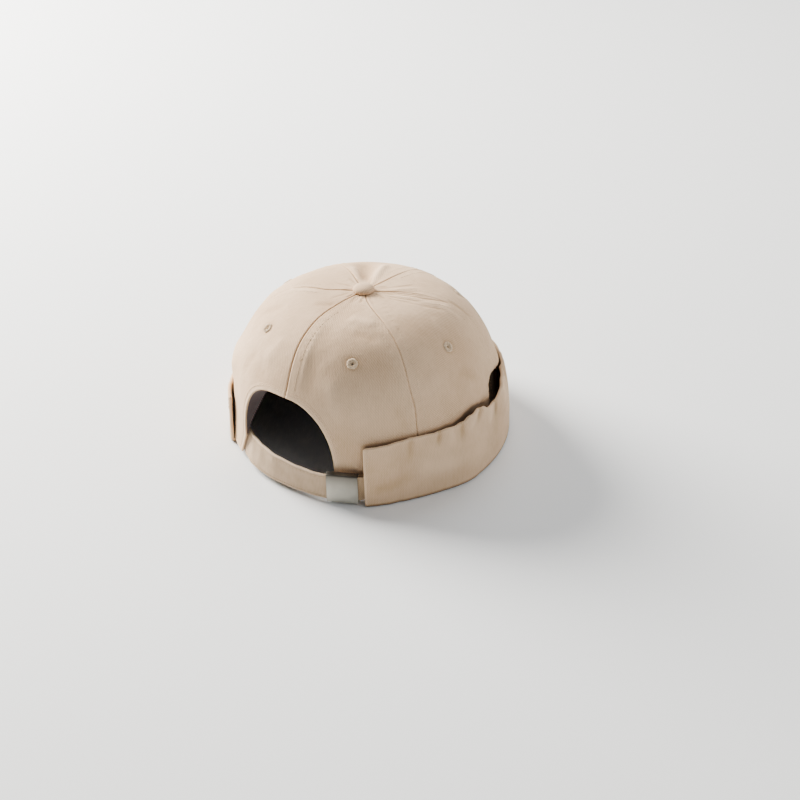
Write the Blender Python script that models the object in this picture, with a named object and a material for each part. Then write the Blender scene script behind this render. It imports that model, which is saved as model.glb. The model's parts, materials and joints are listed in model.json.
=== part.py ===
"""Sailor cap: a brimless six-panel crown of cotton twill with a turned-up cuff, an arched opening
at the back, and a strap with a metal slide buckle across it. It lies on its rim, as when set down."""

import math

import bmesh
import bpy
import numpy as np
from mathutils import Vector

# Driving dimensions, in metres and degrees.
# The front of the cap faces -Y and the back +Y. An angle is measured about the crown's upright axis,
# from the wearer's left, +X, towards the back.
CLEARANCE = 0.0003
CUT_OVERRUN = 0.0060
SHARP_ANGLE = 35.0

CROWN_HALF_WIDTH = 0.0930
CROWN_HALF_LENGTH = 0.0950
CROWN_HEIGHT = 0.1048
CROWN_TOP_SHIFT = 0.0044
CROWN_WALL = 0.0015
CROWN_SIDE_POWER = 3.49
CROWN_TOP_POWER = 2.43
FIRST_SEAM = 30.0
PANEL_ANGLE = 60.0
PANEL_NAMES = (
    "panel_rear_left",
    "panel_rear_right",
    "panel_side_right",
    "panel_front_right",
    "panel_front_left",
    "panel_side_left",
)
PANEL_COLUMNS = 9
PANEL_ROWS = 15

# The shares are of the button's radius and of its height.
BUTTON_DIAMETER = 0.0147
BUTTON_HEIGHT = 0.0042
BUTTON_SHANK = 0.0060
BUTTON_SHANK_TAIL = 0.0012
BUTTON_UNDERSIDE_SHARE = 0.94
BUTTON_EDGE_SHARE = 0.22
BUTTON_DOME_POWER = 0.8
BUTTON_STEPS = 6
BUTTON_SIDES = 24

# The drop is from the crown's top. The eyelets are set by hand, so three stray from their panel's
# middle. The other shares are of the eyelet's radius, and the mouth's of its hole's.
EYELET_DROP = 0.0156
EYELET_STRAYS = {
    # panel: angle, share of the drop
    "rear_left": (-0.5, 0.92),
    "rear_right": (2.5, 1.00),
    "side_right": (-0.5, 1.13),
}
EYELET_DIAMETER = 0.0072
EYELET_HOLE = 0.0018
EYELET_THREAD = 0.0007
EYELET_SLEEVE = 0.0007
EYELET_FRONT_SHARE = 0.86
EYELET_BACK_SHARE = 0.80
EYELET_BACK_EDGE_SHARE = 0.88
EYELET_MOUTH_SHARE = 1.5
EYELET_SIDES = 16

ARCH_HALF_WIDTH = 0.0370
ARCH_CENTRE = -0.0034
ARCH_TOP = 0.0650
ARCH_SPRING = 0.0210
ARCH_LEFT_POWER = 2.5
ARCH_RIGHT_POWER = 2.1
ARCH_LEFT_SPREAD = 0.0100
ARCH_DEPTH_SHARE = 0.65
ARCH_STEPS = 20

CUFF_HEIGHT = 0.0500
CUFF_CLOTH = 0.0024
CUFF_EASE = 0.0008
CUFF_STANDOFF = 0.0050
CUFF_SEAM_HEIGHT = 0.0060
CUFF_SEAM_CLOTH = 0.0012
CUFF_RIGHT_END = 127.3
CUFF_LEFT_END = 413.0
CUFF_STEP = 5.0
CUFF_ROWS = 7
CUFF_CORNER_SHARE = 0.45

STRAP_WIDTH = 0.0196
STRAP_CLOTH = 0.0020
STRAP_LIFT = 0.0005
STRAP_MIDDLE = CUFF_CLOTH + STRAP_LIFT + STRAP_WIDTH / 2
STRAP_LEAN = 0.0020
STRAP_EDGE_SHARE = 0.3
STRAP_LEFT_END = 57.0
STRAP_STEP = 3.0

BUCKLE_ANGLE = 118.9
BUCKLE_WIDTH = 0.0205
BUCKLE_SHEET = 0.0009
BUCKLE_EDGE = 0.0008
BUCKLE_BAR = 0.0030
BUCKLE_PLAY = 0.0005
BUCKLE_RISE = 0.0001
BUCKLE_EDGE_STEPS = 4

TAB_CLOTH = 0.0011
TAB_END = 133.5
TAB_FOLD_SHARE = 0.6
TAB_FOLD_STEPS = 6

# Colours are linear red, green and blue.
CROWN_COLOUR = (0.50, 0.41, 0.31)
CUFF_COLOUR = (0.48, 0.39, 0.29)
TAB_COLOUR = (0.46, 0.37, 0.28)
THREAD_COLOUR = (0.56, 0.46, 0.35)
NICKEL_COLOUR = (0.47, 0.46, 0.43)
CLOTH_ROUGHNESS = 0.9
THREAD_ROUGHNESS = 0.7
NICKEL_ROUGHNESS = 0.32

# Dents and bulges of the crown's cloth. Depths are shares of the crown's half width, negative ones
# stand out; heights and spreads are shares of the crown's height.
DENTS = (
    # angle, half angle, height, half height, depth
    (122.0, 15.0, 0.02, 0.16, 0.020),
    (204.0, 21.0, 0.30, 0.30, 0.036),
    (206.0, 9.0, 0.47, 0.10, 0.030),
    (128.0, 9.0, 0.38, 0.12, -0.010),
    (104.0, 8.0, 0.78, 0.16, 0.010),
    (40.0, 28.0, 0.18, 0.22, 0.026),
)

# The cuff, section by section. Gaps to the crown are shares of CUFF_STANDOFF, heights of CUFF_HEIGHT.
CUFF_SECTIONS = (
    # angle, gap at the foot, gap halfway, gap at the lip, height
    (127.3, 1.15, 1.08, 0.62, 0.80),
    (131.0, 0.95, 0.93, 0.55, 0.82),
    (135.0, 0.70, 0.80, 0.50, 0.85),
    (141.0, 0.30, 0.32, 0.22, 0.88),
    (147.5, 0.10, 0.20, 0.20, 0.915),
    (153.0, 0.06, 0.18, 0.25, 0.94),
    (160.0, 0.12, 0.22, 0.30, 0.97),
    (168.0, 0.38, 0.40, 0.35, 0.98),
    (172.0, 0.52, 0.50, 0.40, 1.00),
    (178.0, 0.30, 0.40, 0.50, 0.985),
    (183.0, 0.20, 0.40, 0.60, 0.95),
    (189.0, 0.20, 0.45, 0.80, 0.97),
    (196.0, 0.20, 0.50, 0.85, 0.94),
    (206.0, 0.20, 0.60, 1.15, 0.98),
    (216.0, 0.15, 0.40, 0.75, 1.04),
    (230.0, 0.15, 0.20, 0.30, 1.04),
    (250.0, 0.20, 0.25, 0.25, 0.97),
    (270.0, 0.25, 0.30, 0.30, 0.94),
    (300.0, 0.25, 0.30, 0.30, 0.95),
    (330.0, 0.15, 0.20, 0.20, 0.90),
    (360.0, 0.10, 0.15, 0.15, 0.82),
    (390.0, 0.05, 0.10, 0.12, 0.73),
    (405.0, 0.05, 0.12, 0.15, 0.71),
    (413.0, 0.05, 0.25, 0.25, 0.72),
)

# The strap's way out of the crown: a share of 0 lies inside the left panel, 1 in the buckle.
# The rise is a share of STRAP_MIDDLE, the lean of STRAP_LEAN.
STRAP_SECTIONS = (
    # angle, way out, rise, lean
    (57.0, 0.00, 0.03, -0.3),
    (63.0, 0.03, 0.03, -1.0),
    (68.0, 0.17, 0.05, -1.6),
    (75.0, 0.36, 0.05, -1.6),
    (81.0, 0.43, 0.03, -1.1),
    (91.5, 0.53, 0.00, -0.1),
    (101.5, 0.72, -0.03, 0.6),
    (109.0, 0.93, -0.03, 1.0),
    (112.5, 1.00, -0.01, 1.0),
    (130.0, 1.00, -0.01, 1.0),
)


def table_value(table, angle, column):
    """A column of a table at this angle, smoothly between its rows."""
    angles = [row[0] for row in table]
    values = [row[column] for row in table]
    below = min(max(np.searchsorted(angles, angle, side="right") - 1, 0), len(angles) - 2)
    share = (angle - angles[below]) / (angles[below + 1] - angles[below])
    share = min(max(share, 0.0), 1.0)
    share = share * share * (3 - 2 * share)
    return values[below] + (values[below + 1] - values[below]) * share


def outline_steps(samples=800):
    """How far out and up the crown's outline is, at shares of its length from the rim to the top."""
    turn = math.pi / 2 * (1 - (1 - np.linspace(0, 1, samples)) ** 2)
    out = np.abs(np.cos(turn)) ** (2 / CROWN_SIDE_POWER)
    out[-1] = 0.0
    up = np.sin(turn) ** (2 / CROWN_TOP_POWER)
    steps = np.hypot(np.diff(out) * CROWN_HALF_WIDTH, np.diff(up) * CROWN_HEIGHT)
    climb = np.concatenate(([0.0], np.cumsum(steps)))
    return climb / climb[-1], out, up


CLIMB, OUT, UP = outline_steps()


def plan_radius(angle):
    """The crown's outer radius at its widest, where it is an ellipse from above."""
    turn = math.radians(angle)
    return 1 / math.hypot(math.cos(turn) / CROWN_HALF_WIDTH, math.sin(turn) / CROWN_HALF_LENGTH)


def dent_depth(angle, up):
    """How far the cloth is pressed in at this angle and share of the height."""
    depth = 0.0
    for middle, half_angle, height, half_height, share in DENTS:
        across = ((angle - middle + 180) % 360 - 180) / half_angle
        along = (up - height) / half_height
        depth += share * CROWN_HALF_WIDTH * math.exp(-across * across - along * along)
    return depth


def crown_polar(angle, climb, inset=0.0):
    """Radius, height and axis shift of the crown's cloth, this far in from its outer face."""
    out = float(np.interp(climb, CLIMB, OUT))
    up = float(np.interp(climb, CLIMB, UP))
    reach = plan_radius(angle)
    facing_out = CROWN_SIDE_POWER * out ** (CROWN_SIDE_POWER - 1) / reach
    facing_up = CROWN_TOP_POWER * up ** (CROWN_TOP_POWER - 1) / CROWN_HEIGHT
    length = math.hypot(facing_out, facing_up)
    inward = inset + dent_depth(angle, up)
    radius = reach * out - inward * facing_out / length
    height = CROWN_HEIGHT * up - inward * facing_up / length
    return radius, height, CROWN_TOP_SHIFT * up


def placed(angle, radius, height, shift=None):
    """A point at this angle, radius and height about the crown's leaning axis."""
    turn = math.radians(angle)
    if shift is None:
        shift = CROWN_TOP_SHIFT * height / CROWN_HEIGHT
    return Vector((radius * math.cos(turn), radius * math.sin(turn) + shift, height))


def climb_at_height(height):
    return float(np.interp(height / CROWN_HEIGHT, UP, CLIMB))


def climb_at_radius(radius):
    return float(np.interp(-radius / CROWN_HALF_WIDTH, -OUT, CLIMB))


def crown_radius(angle, height, inset=0.0):
    """The radius of the crown's cloth at this height."""
    return crown_polar(angle, climb_at_height(height), inset)[0]


def make_material(name, colour, roughness, metallic=0.0):
    material = bpy.data.materials.new(name)
    material.use_nodes = True
    shader = material.node_tree.nodes["Principled BSDF"]
    shader.inputs["Base Color"].default_value = (*colour, 1.0)
    shader.inputs["Roughness"].default_value = roughness
    shader.inputs["Metallic"].default_value = metallic
    return material


def add_object(name, points, faces, material, parent):
    """A smooth-shaded mesh object with its faces pointing out."""
    mesh = bpy.data.meshes.new(name)
    mesh.from_pydata([tuple(point) for point in points], [], faces)
    piece = bmesh.new()
    piece.from_mesh(mesh)
    if all(edge.is_manifold for edge in piece.edges):
        bmesh.ops.recalc_face_normals(piece, faces=piece.faces)
    piece.to_mesh(mesh)
    piece.free()
    mesh.shade_smooth()
    mesh.set_sharp_from_angle(angle=math.radians(SHARP_ANGLE))
    mesh.materials.append(material)
    thing = bpy.data.objects.new(name, mesh)
    bpy.context.scene.collection.objects.link(thing)
    thing.parent = parent
    return thing


def loft(name, sections, material, parent, ring=False):
    """A solid through closed sections of as many points each, capped at both ends unless it is a ring."""
    size = len(sections[0])
    points = [point for section in sections for point in section]
    faces = []
    for step in range(len(sections) if ring else len(sections) - 1):
        here = step * size
        there = (step + 1) % len(sections) * size
        for corner in range(size):
            after = (corner + 1) % size
            faces.append((here + corner, here + after, there + after, there + corner))
    if not ring:
        faces.append(tuple(range(size)))
        faces.append(tuple(range(len(points) - 1, len(points) - 1 - size, -1)))
    return add_object(name, points, faces, material, parent)


def turned(name, outline, sides, material, parent):
    """A round solid from its outline of (radius, height) pairs, which starts and ends on the axis."""
    points = [Vector((0, 0, outline[0][1]))]
    for radius, height in outline[1:-1]:
        for side in range(sides):
            turn = 2 * math.pi * side / sides
            points.append(Vector((radius * math.cos(turn), radius * math.sin(turn), height)))
    points.append(Vector((0, 0, outline[-1][1])))
    last = len(points) - 1
    faces = []
    for side in range(sides):
        after = (side + 1) % sides
        faces.append((0, 1 + side, 1 + after))
        faces.append((last, last - sides + after, last - sides + side))
        for row in range(len(outline) - 3):
            here = 1 + row * sides
            there = here + sides
            faces.append((here + side, there + side, there + after, here + after))
    return add_object(name, points, faces, material, parent)


def cut_away(thing, cutter, name):
    """Takes the cutter's shape out of the thing."""
    cut = thing.modifiers.new(name, "BOOLEAN")
    cut.operation = "DIFFERENCE"
    cut.solver = "EXACT"
    cut.object = cutter
    cutter.hide_render = True
    cutter.display_type = "WIRE"


def arch_cutter(parent):
    """The arched opening as a block that passes through the back of the crown."""
    outer = CROWN_HALF_LENGTH + CROWN_TOP_SHIFT + CUT_OVERRUN
    inner = CROWN_HALF_LENGTH * (1 - ARCH_DEPTH_SHARE)
    foot = ARCH_CENTRE + ARCH_HALF_WIDTH + ARCH_LEFT_SPREAD
    outline = [(foot, -CUT_OVERRUN), (foot, 0.0)]
    for step in range(ARCH_STEPS + 1):
        turn = math.pi * step / ARCH_STEPS
        power = ARCH_LEFT_POWER if turn < math.pi / 2 else ARCH_RIGHT_POWER
        across = math.copysign(abs(math.cos(turn)) ** (2 / power), math.cos(turn))
        above = abs(math.sin(turn)) ** (2 / power)
        side = ARCH_CENTRE + ARCH_HALF_WIDTH * across
        outline.append((side, ARCH_SPRING + (ARCH_TOP - ARCH_SPRING) * above))
    outline.append((ARCH_CENTRE - ARCH_HALF_WIDTH, -CUT_OVERRUN))
    sections = [[Vector((side, depth, height)) for side, height in outline] for depth in (inner, outer)]
    return loft("arch_cutter", sections, None, parent)


def crown_panel(name, seam, material, parent):
    """One of the six panels, from seam to seam and from the rim to the button's hole."""
    rim = climb_at_height(CUFF_CLOTH + CLEARANCE)
    top = climb_at_radius(BUTTON_SHANK / 2 + CLEARANCE)
    points = []
    for row in range(PANEL_ROWS + 1):
        climb = rim + (top - rim) * row / PANEL_ROWS
        radius = crown_polar(seam, climb)[0]
        margin = math.degrees(math.asin(CLEARANCE / 2 / radius))
        for column in range(PANEL_COLUMNS + 1):
            share = column / PANEL_COLUMNS
            angle = seam + margin + (PANEL_ANGLE - 2 * margin) * share
            points.append(placed(angle, *crown_polar(angle, climb)))
    faces = []
    width = PANEL_COLUMNS + 1
    for row in range(PANEL_ROWS):
        for column in range(PANEL_COLUMNS):
            here = row * width + column
            faces.append((here, here + 1, here + width + 1, here + width))
    panel = add_object(name, points, faces, material, parent)
    wall = panel.modifiers.new("cloth thickness", "SOLIDIFY")
    wall.thickness = CROWN_WALL
    wall.offset = -1.0
    return panel


def on_crown(angle, climb):
    """A point on the crown's outer face."""
    return placed(angle, *crown_polar(angle, climb))


def eyelet_seat(place, middle):
    """Where the eyelet of a panel sits on the outer face, and how it is turned to face outwards."""
    stray, share = EYELET_STRAYS.get(place, (0.0, 1.0))
    angle = middle + stray
    climb = climb_at_height(CROWN_HEIGHT - EYELET_DROP * share)
    step = 0.004
    upward = on_crown(angle, climb + step) - on_crown(angle, climb - step)
    sideways = on_crown(angle + 1, climb) - on_crown(angle - 1, climb)
    facing = sideways.cross(upward).normalized()
    return on_crown(angle, climb), facing.to_track_quat("Z", "Y").to_euler()


def eyelet(name, seat, material, parent):
    """An embroidered ring on both faces of the panel, joined through its hole."""
    bore = EYELET_HOLE / 2
    sleeve = bore + EYELET_SLEEVE
    outer = EYELET_DIAMETER / 2
    face = CLEARANCE
    back = -CROWN_WALL - 2 * CLEARANCE
    outline = (
        (bore, back - EYELET_THREAD),
        (outer * EYELET_BACK_SHARE, back - EYELET_THREAD),
        (outer * EYELET_BACK_EDGE_SHARE, back),
        (sleeve, back),
        (sleeve, face),
        (outer, face),
        (outer * EYELET_FRONT_SHARE, face + EYELET_THREAD),
        (bore * EYELET_MOUTH_SHARE, face + EYELET_THREAD),
        (bore, face + EYELET_THREAD / 2),
    )
    sections = []
    for side in range(EYELET_SIDES):
        turn = 2 * math.pi * side / EYELET_SIDES
        sections.append([Vector((r * math.cos(turn), r * math.sin(turn), z)) for r, z in outline])
    ring = loft(name, sections, material, parent, ring=True)
    ring.location, ring.rotation_euler = seat
    return ring


def eyelet_cutter(name, seat, parent):
    """The hole in the panel that the eyelet is worked round."""
    radius = EYELET_HOLE / 2 + EYELET_SLEEVE + CLEARANCE
    depth = CUT_OVERRUN
    outline = ((0, -depth), (radius, -depth), (radius, depth), (0, depth))
    cutter = turned(name, outline, EYELET_SIDES, None, parent)
    cutter.location, cutter.rotation_euler = seat
    return cutter


def top_button(material, parent):
    """A cloth-covered dome whose shank passes through the point where the panels meet."""
    radius = BUTTON_DIAMETER / 2
    seat = placed(0.0, *crown_polar(90.0, climb_at_radius(radius)))[2]
    crest = placed(0.0, *crown_polar(90.0, 1.0))[2]
    base = crest + CLEARANCE
    tail = seat - CROWN_WALL - BUTTON_SHANK_TAIL
    edge = BUTTON_HEIGHT * BUTTON_EDGE_SHARE
    outline = [(0.0, tail), (BUTTON_SHANK / 2, tail), (BUTTON_SHANK / 2, base)]
    outline += [(radius * BUTTON_UNDERSIDE_SHARE, base), (radius, base + edge)]
    for step in range(1, BUTTON_STEPS):
        turn = math.pi / 2 * step / BUTTON_STEPS
        dome = edge + (BUTTON_HEIGHT - edge) * math.sin(turn)
        outline.append((radius * math.cos(turn) ** BUTTON_DOME_POWER, base + dome))
    outline.append((0.0, base + BUTTON_HEIGHT))
    button = turned("top_button", outline, BUTTON_SIDES, material, parent)
    button.location = (0.0, CROWN_TOP_SHIFT, 0.0)
    return button


def cuff_section(angle):
    """The cuff's cloth at this angle: the turned-up wall, the fold it lies on and its seam inside."""
    foot_gap = CUFF_EASE + CUFF_STANDOFF * table_value(CUFF_SECTIONS, angle, 1)
    middle_gap = CUFF_EASE + CUFF_STANDOFF * table_value(CUFF_SECTIONS, angle, 2)
    lip_gap = CUFF_EASE + CUFF_STANDOFF * table_value(CUFF_SECTIONS, angle, 3)
    height = CUFF_HEIGHT * table_value(CUFF_SECTIONS, angle, 4)
    corner = CUFF_CLOTH * CUFF_CORNER_SHARE

    def wall_inner(level):
        share = (level - CUFF_CLOTH) / (height - CUFF_CLOTH)
        straight = foot_gap + (lip_gap - foot_gap) * share
        bulge = (middle_gap - (foot_gap + lip_gap) / 2) * 4 * share * (1 - share)
        return crown_radius(angle, level) + straight + bulge

    rise = (height - CUFF_CLOTH) / (CUFF_ROWS - 1)
    levels = [CUFF_CLOTH + rise * row for row in range(CUFF_ROWS)]
    inner = [(wall_inner(level), level) for level in levels]
    outer = [(radius + CUFF_CLOTH, level) for radius, level in inner]
    seam_face = crown_radius(angle, CUFF_CLOTH, CROWN_WALL + 2 * CLEARANCE)
    seam_back = seam_face - CUFF_SEAM_CLOTH
    foot = outer[0][0]
    lip = [(inner[-1][0] + corner, height + corner / 2), (outer[-1][0] - corner, height + corner / 2)]
    loop = inner + lip + outer[::-1]
    loop += [(foot - corner, 0.0), (seam_back + corner, 0.0), (seam_back, corner)]
    loop += [(seam_back, CUFF_SEAM_HEIGHT), (seam_face, CUFF_SEAM_HEIGHT), (seam_face, CUFF_CLOTH)]
    return [placed(angle, radius, level) for radius, level in loop]


def cuff(material, parent):
    """The turned-up band round the crown, from beside the buckle to beside the arch's other foot."""
    steps = round((CUFF_LEFT_END - CUFF_RIGHT_END) / CUFF_STEP)
    span = CUFF_LEFT_END - CUFF_RIGHT_END
    angles = [CUFF_RIGHT_END + span * step / steps for step in range(steps + 1)]
    return loft("cuff", [cuff_section(angle) for angle in angles], material, parent)


def buckle_back():
    """The radius of the buckle's back face, which leaves room for one layer of the tab behind it."""
    return plan_radius(BUCKLE_ANGLE) + CLEARANCE + TAB_CLOTH


def strap_outside(angle):
    """The radius of the strap's middle in the buckle, where it runs straight, as the buckle does."""
    radius = buckle_back() + BUCKLE_SHEET + CLEARANCE + STRAP_CLOTH / 2
    half_span = math.asin(BUCKLE_WIDTH / 2 / radius)
    off_middle = min(abs(math.radians(angle - BUCKLE_ANGLE)), half_span)
    return radius / math.cos(off_middle)


def strap_inside(angle, middle, lean):
    """The radius of the strap's middle where it lies against the left panel's inner face."""
    room = []
    for share in (-0.5, 0.0, 0.5):
        wall = crown_radius(angle, middle + STRAP_WIDTH * share, CROWN_WALL + 2 * CLEARANCE)
        room.append(wall - lean * share)
    return min(room) - STRAP_CLOTH / 2


def strap_section(angle):
    """The strap's cloth at this angle, on its way from inside the crown to the buckle."""
    way_out = table_value(STRAP_SECTIONS, angle, 1)
    middle = STRAP_MIDDLE * (1 + table_value(STRAP_SECTIONS, angle, 2))
    lean = STRAP_LEAN * table_value(STRAP_SECTIONS, angle, 3)
    radius = strap_inside(angle, middle, lean) * (1 - way_out) + strap_outside(angle) * way_out
    half = STRAP_WIDTH / 2
    thick = STRAP_CLOTH / 2
    edge = STRAP_CLOTH * STRAP_EDGE_SHARE
    loop = []
    turn = math.radians(angle)
    for across, along in (
        (-thick, -half + edge),
        (-thick + edge, -half),
        (thick - edge, -half),
        (thick, -half + edge),
        (thick, 0.0),
        (thick, half - edge),
        (thick - edge, half),
        (-thick + edge, half),
        (-thick, half - edge),
        (-thick, 0.0),
    ):
        reach = radius + across + lean * along / STRAP_WIDTH
        loop.append(Vector((reach * math.cos(turn), reach * math.sin(turn), middle + along)))
    return loop


def strap(material, parent):
    """The strap ends inside the buckle, short of the bar that the tab is looped round."""
    reach = BUCKLE_WIDTH / 2 - BUCKLE_BAR - TAB_CLOTH - 4 * CLEARANCE
    bar_angle = math.degrees(reach / strap_outside(BUCKLE_ANGLE))
    end = BUCKLE_ANGLE + bar_angle
    steps = round((end - STRAP_LEFT_END) / STRAP_STEP)
    angles = [STRAP_LEFT_END + (end - STRAP_LEFT_END) * step / steps for step in range(steps + 1)]
    return loft("strap", [strap_section(angle) for angle in angles], material, parent)


def box(name, low, high, material, parent):
    """A block between two corners."""
    points = [(x, y, z) for z in (low[2], high[2]) for y in (low[1], high[1]) for x in (low[0], high[0])]
    faces = [(0, 2, 3, 1), (4, 5, 7, 6), (0, 1, 5, 4), (2, 6, 7, 3), (0, 4, 6, 2), (1, 3, 7, 5)]
    return add_object(name, points, faces, material, parent)


def seat_at_buckle(thing):
    """Puts a thing made about the buckle's back face in its place: +Y out, +X towards the strap."""
    turn = math.radians(BUCKLE_ANGLE)
    back = buckle_back()
    thing.location = (back * math.cos(turn), back * math.sin(turn), STRAP_MIDDLE + BUCKLE_RISE)
    thing.rotation_euler = (-math.atan(STRAP_LEAN / STRAP_WIDTH), 0.0, turn - math.pi / 2)


def buckle(material, parent):
    """A sheet-metal slide: a plate with turned edges, and two bars behind. The tab goes round one."""
    half = BUCKLE_WIDTH / 2
    passage = STRAP_CLOTH + 2 * CLEARANCE
    depth = BUCKLE_SHEET + passage + BUCKLE_SHEET
    inside = STRAP_WIDTH / 2 + BUCKLE_PLAY
    outside = inside + BUCKLE_EDGE
    slide = box("buckle", (-half, 0.0, -outside), (half, depth, outside), material, parent)
    shape = bmesh.new()
    shape.from_mesh(slide.data)
    front_edges = [
        edge
        for edge in shape.edges
        if all(vertex.co.y > depth / 2 for vertex in edge.verts)
        and abs(edge.verts[0].co.z - edge.verts[1].co.z) < CLEARANCE
    ]
    bmesh.ops.bevel(
        shape, geom=front_edges, offset=BUCKLE_EDGE, segments=BUCKLE_EDGE_STEPS, affect="EDGES", profile=0.5
    )
    shape.to_mesh(slide.data)
    shape.free()
    way = box(
        "passage_cutter",
        (-half - CUT_OVERRUN, BUCKLE_SHEET, -inside),
        (half + CUT_OVERRUN, BUCKLE_SHEET + passage, inside),
        None,
        parent,
    )
    window = box(
        "window_cutter",
        (-half + BUCKLE_BAR, -CUT_OVERRUN, -inside),
        (half - BUCKLE_BAR, BUCKLE_SHEET + passage / 2, inside),
        None,
        parent,
    )
    cut_away(slide, way, "way for the strap")
    cut_away(slide, window, "open back")
    for thing in (slide, way, window):
        seat_at_buckle(thing)
    return slide


def tab_path():
    """The middle of the tab's cloth from above: in from under the cuff, round the bar, and out again."""
    turn = math.radians(BUCKLE_ANGLE)
    out = Vector((math.cos(turn), math.sin(turn)))
    along = Vector((-math.sin(turn), math.cos(turn)))
    back = buckle_back()
    half = TAB_CLOTH / 2
    behind = -CLEARANCE - half
    before = BUCKLE_SHEET + CLEARANCE + half
    bar_near = BUCKLE_WIDTH / 2 - BUCKLE_BAR - CLEARANCE
    bar_far = BUCKLE_WIDTH / 2 + CLEARANCE

    def local(side, depth):
        return out * (back + depth) + along * side

    def polar(angle, radius):
        return Vector((radius * math.cos(math.radians(angle)), radius * math.sin(math.radians(angle))))

    def layer(angle, number):
        """A point in the first or second layer of the tab, counted from the crown."""
        return polar(angle, plan_radius(angle) + CLEARANCE + half + number * (TAB_CLOTH + CLEARANCE))

    free = (BUCKLE_ANGLE + 2 * TAB_END) / 3
    path = [layer(TAB_END, 0), layer((free + TAB_END) / 2, 0), layer(free, 0)]
    path.append(local(bar_far - TAB_CLOTH, behind))
    middle = (behind + before) / 2
    reach = (before - behind) / 2
    for step in range(TAB_FOLD_STEPS + 1):
        swing = math.pi * step / TAB_FOLD_STEPS
        side = bar_near - TAB_FOLD_SHARE * reach * math.sin(swing)
        path.append(local(side, middle - reach * math.cos(swing)))
    path.append(local(bar_far + half, before))
    path += [layer(free, 1), layer((free + TAB_END) / 2, 1), layer(TAB_END, 1)]
    return path


def ribbon(path, thickness):
    """The outline of a band of this thickness along a path in the plane."""
    left, right = [], []
    for index, point in enumerate(path):
        before = path[max(index - 1, 0)]
        after = path[min(index + 1, len(path) - 1)]
        direction = (after - before).normalized()
        normal = Vector((-direction.y, direction.x))
        left.append(point + normal * thickness / 2)
        right.append(point - normal * thickness / 2)
    return left + right[::-1]


def strap_tab(material, parent):
    """The loop of cloth from under the cuff that carries the buckle."""
    outline = ribbon(tab_path(), TAB_CLOTH)
    turn = math.radians(BUCKLE_ANGLE)
    out = Vector((math.cos(turn), math.sin(turn)))
    sections = []
    for share in (-0.5, 0.0, 0.5):
        offset = out * STRAP_LEAN * share
        level = STRAP_MIDDLE + STRAP_WIDTH * share
        sections.append([Vector((p.x + offset.x, p.y + offset.y, level)) for p in outline])
    return loft("strap_tab", sections, material, parent)


def stand_on_origin(root, things):
    """Moves the cap so that the middle of its footprint is the origin and its fold lies at height 0."""
    bpy.context.view_layer.update()
    graph = bpy.context.evaluated_depsgraph_get()
    corners = [
        thing.matrix_world @ Vector(corner)
        for thing in things
        for corner in thing.evaluated_get(graph).bound_box
    ]
    low = [min(corner[axis] for corner in corners) for axis in range(3)]
    high = [max(corner[axis] for corner in corners) for axis in range(3)]
    root.location = (-(low[0] + high[0]) / 2, -(low[1] + high[1]) / 2, -low[2])


def build():
    """Makes the pieces from the crown down and stands the cap on the origin."""
    for thing in list(bpy.data.objects):
        bpy.data.objects.remove(thing)
    root = bpy.data.objects.new("sailor_cap", None)
    bpy.context.scene.collection.objects.link(root)
    things = []
    arch = arch_cutter(root)
    for index, name in enumerate(PANEL_NAMES):
        seam = FIRST_SEAM + PANEL_ANGLE * index
        place = name.replace("panel_", "")
        seat = eyelet_seat(place, seam + PANEL_ANGLE / 2)
        panel = crown_panel(name, seam, make_material(name, CROWN_COLOUR, CLOTH_ROUGHNESS), root)
        cut_away(panel, eyelet_cutter("eyelet_cutter_" + place, seat, root), "eyelet hole")
        if "rear" in name:
            cut_away(panel, arch, "back opening")
        thread = make_material("eyelet_thread_" + place, THREAD_COLOUR, THREAD_ROUGHNESS)
        things += [panel, eyelet("eyelet_" + place, seat, thread, root)]
    things.append(top_button(make_material("button_twill", CROWN_COLOUR, CLOTH_ROUGHNESS), root))
    things.append(cuff(make_material("cuff_twill", CUFF_COLOUR, CLOTH_ROUGHNESS), root))
    things.append(strap(make_material("strap_twill", CROWN_COLOUR, CLOTH_ROUGHNESS), root))
    things.append(strap_tab(make_material("tab_twill", TAB_COLOUR, CLOTH_ROUGHNESS), root))
    nickel = make_material("satin_nickel", NICKEL_COLOUR, NICKEL_ROUGHNESS, metallic=1.0)
    things.append(buckle(nickel, root))
    stand_on_origin(root, things)


build()
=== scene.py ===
import itertools
import json
import math

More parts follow.
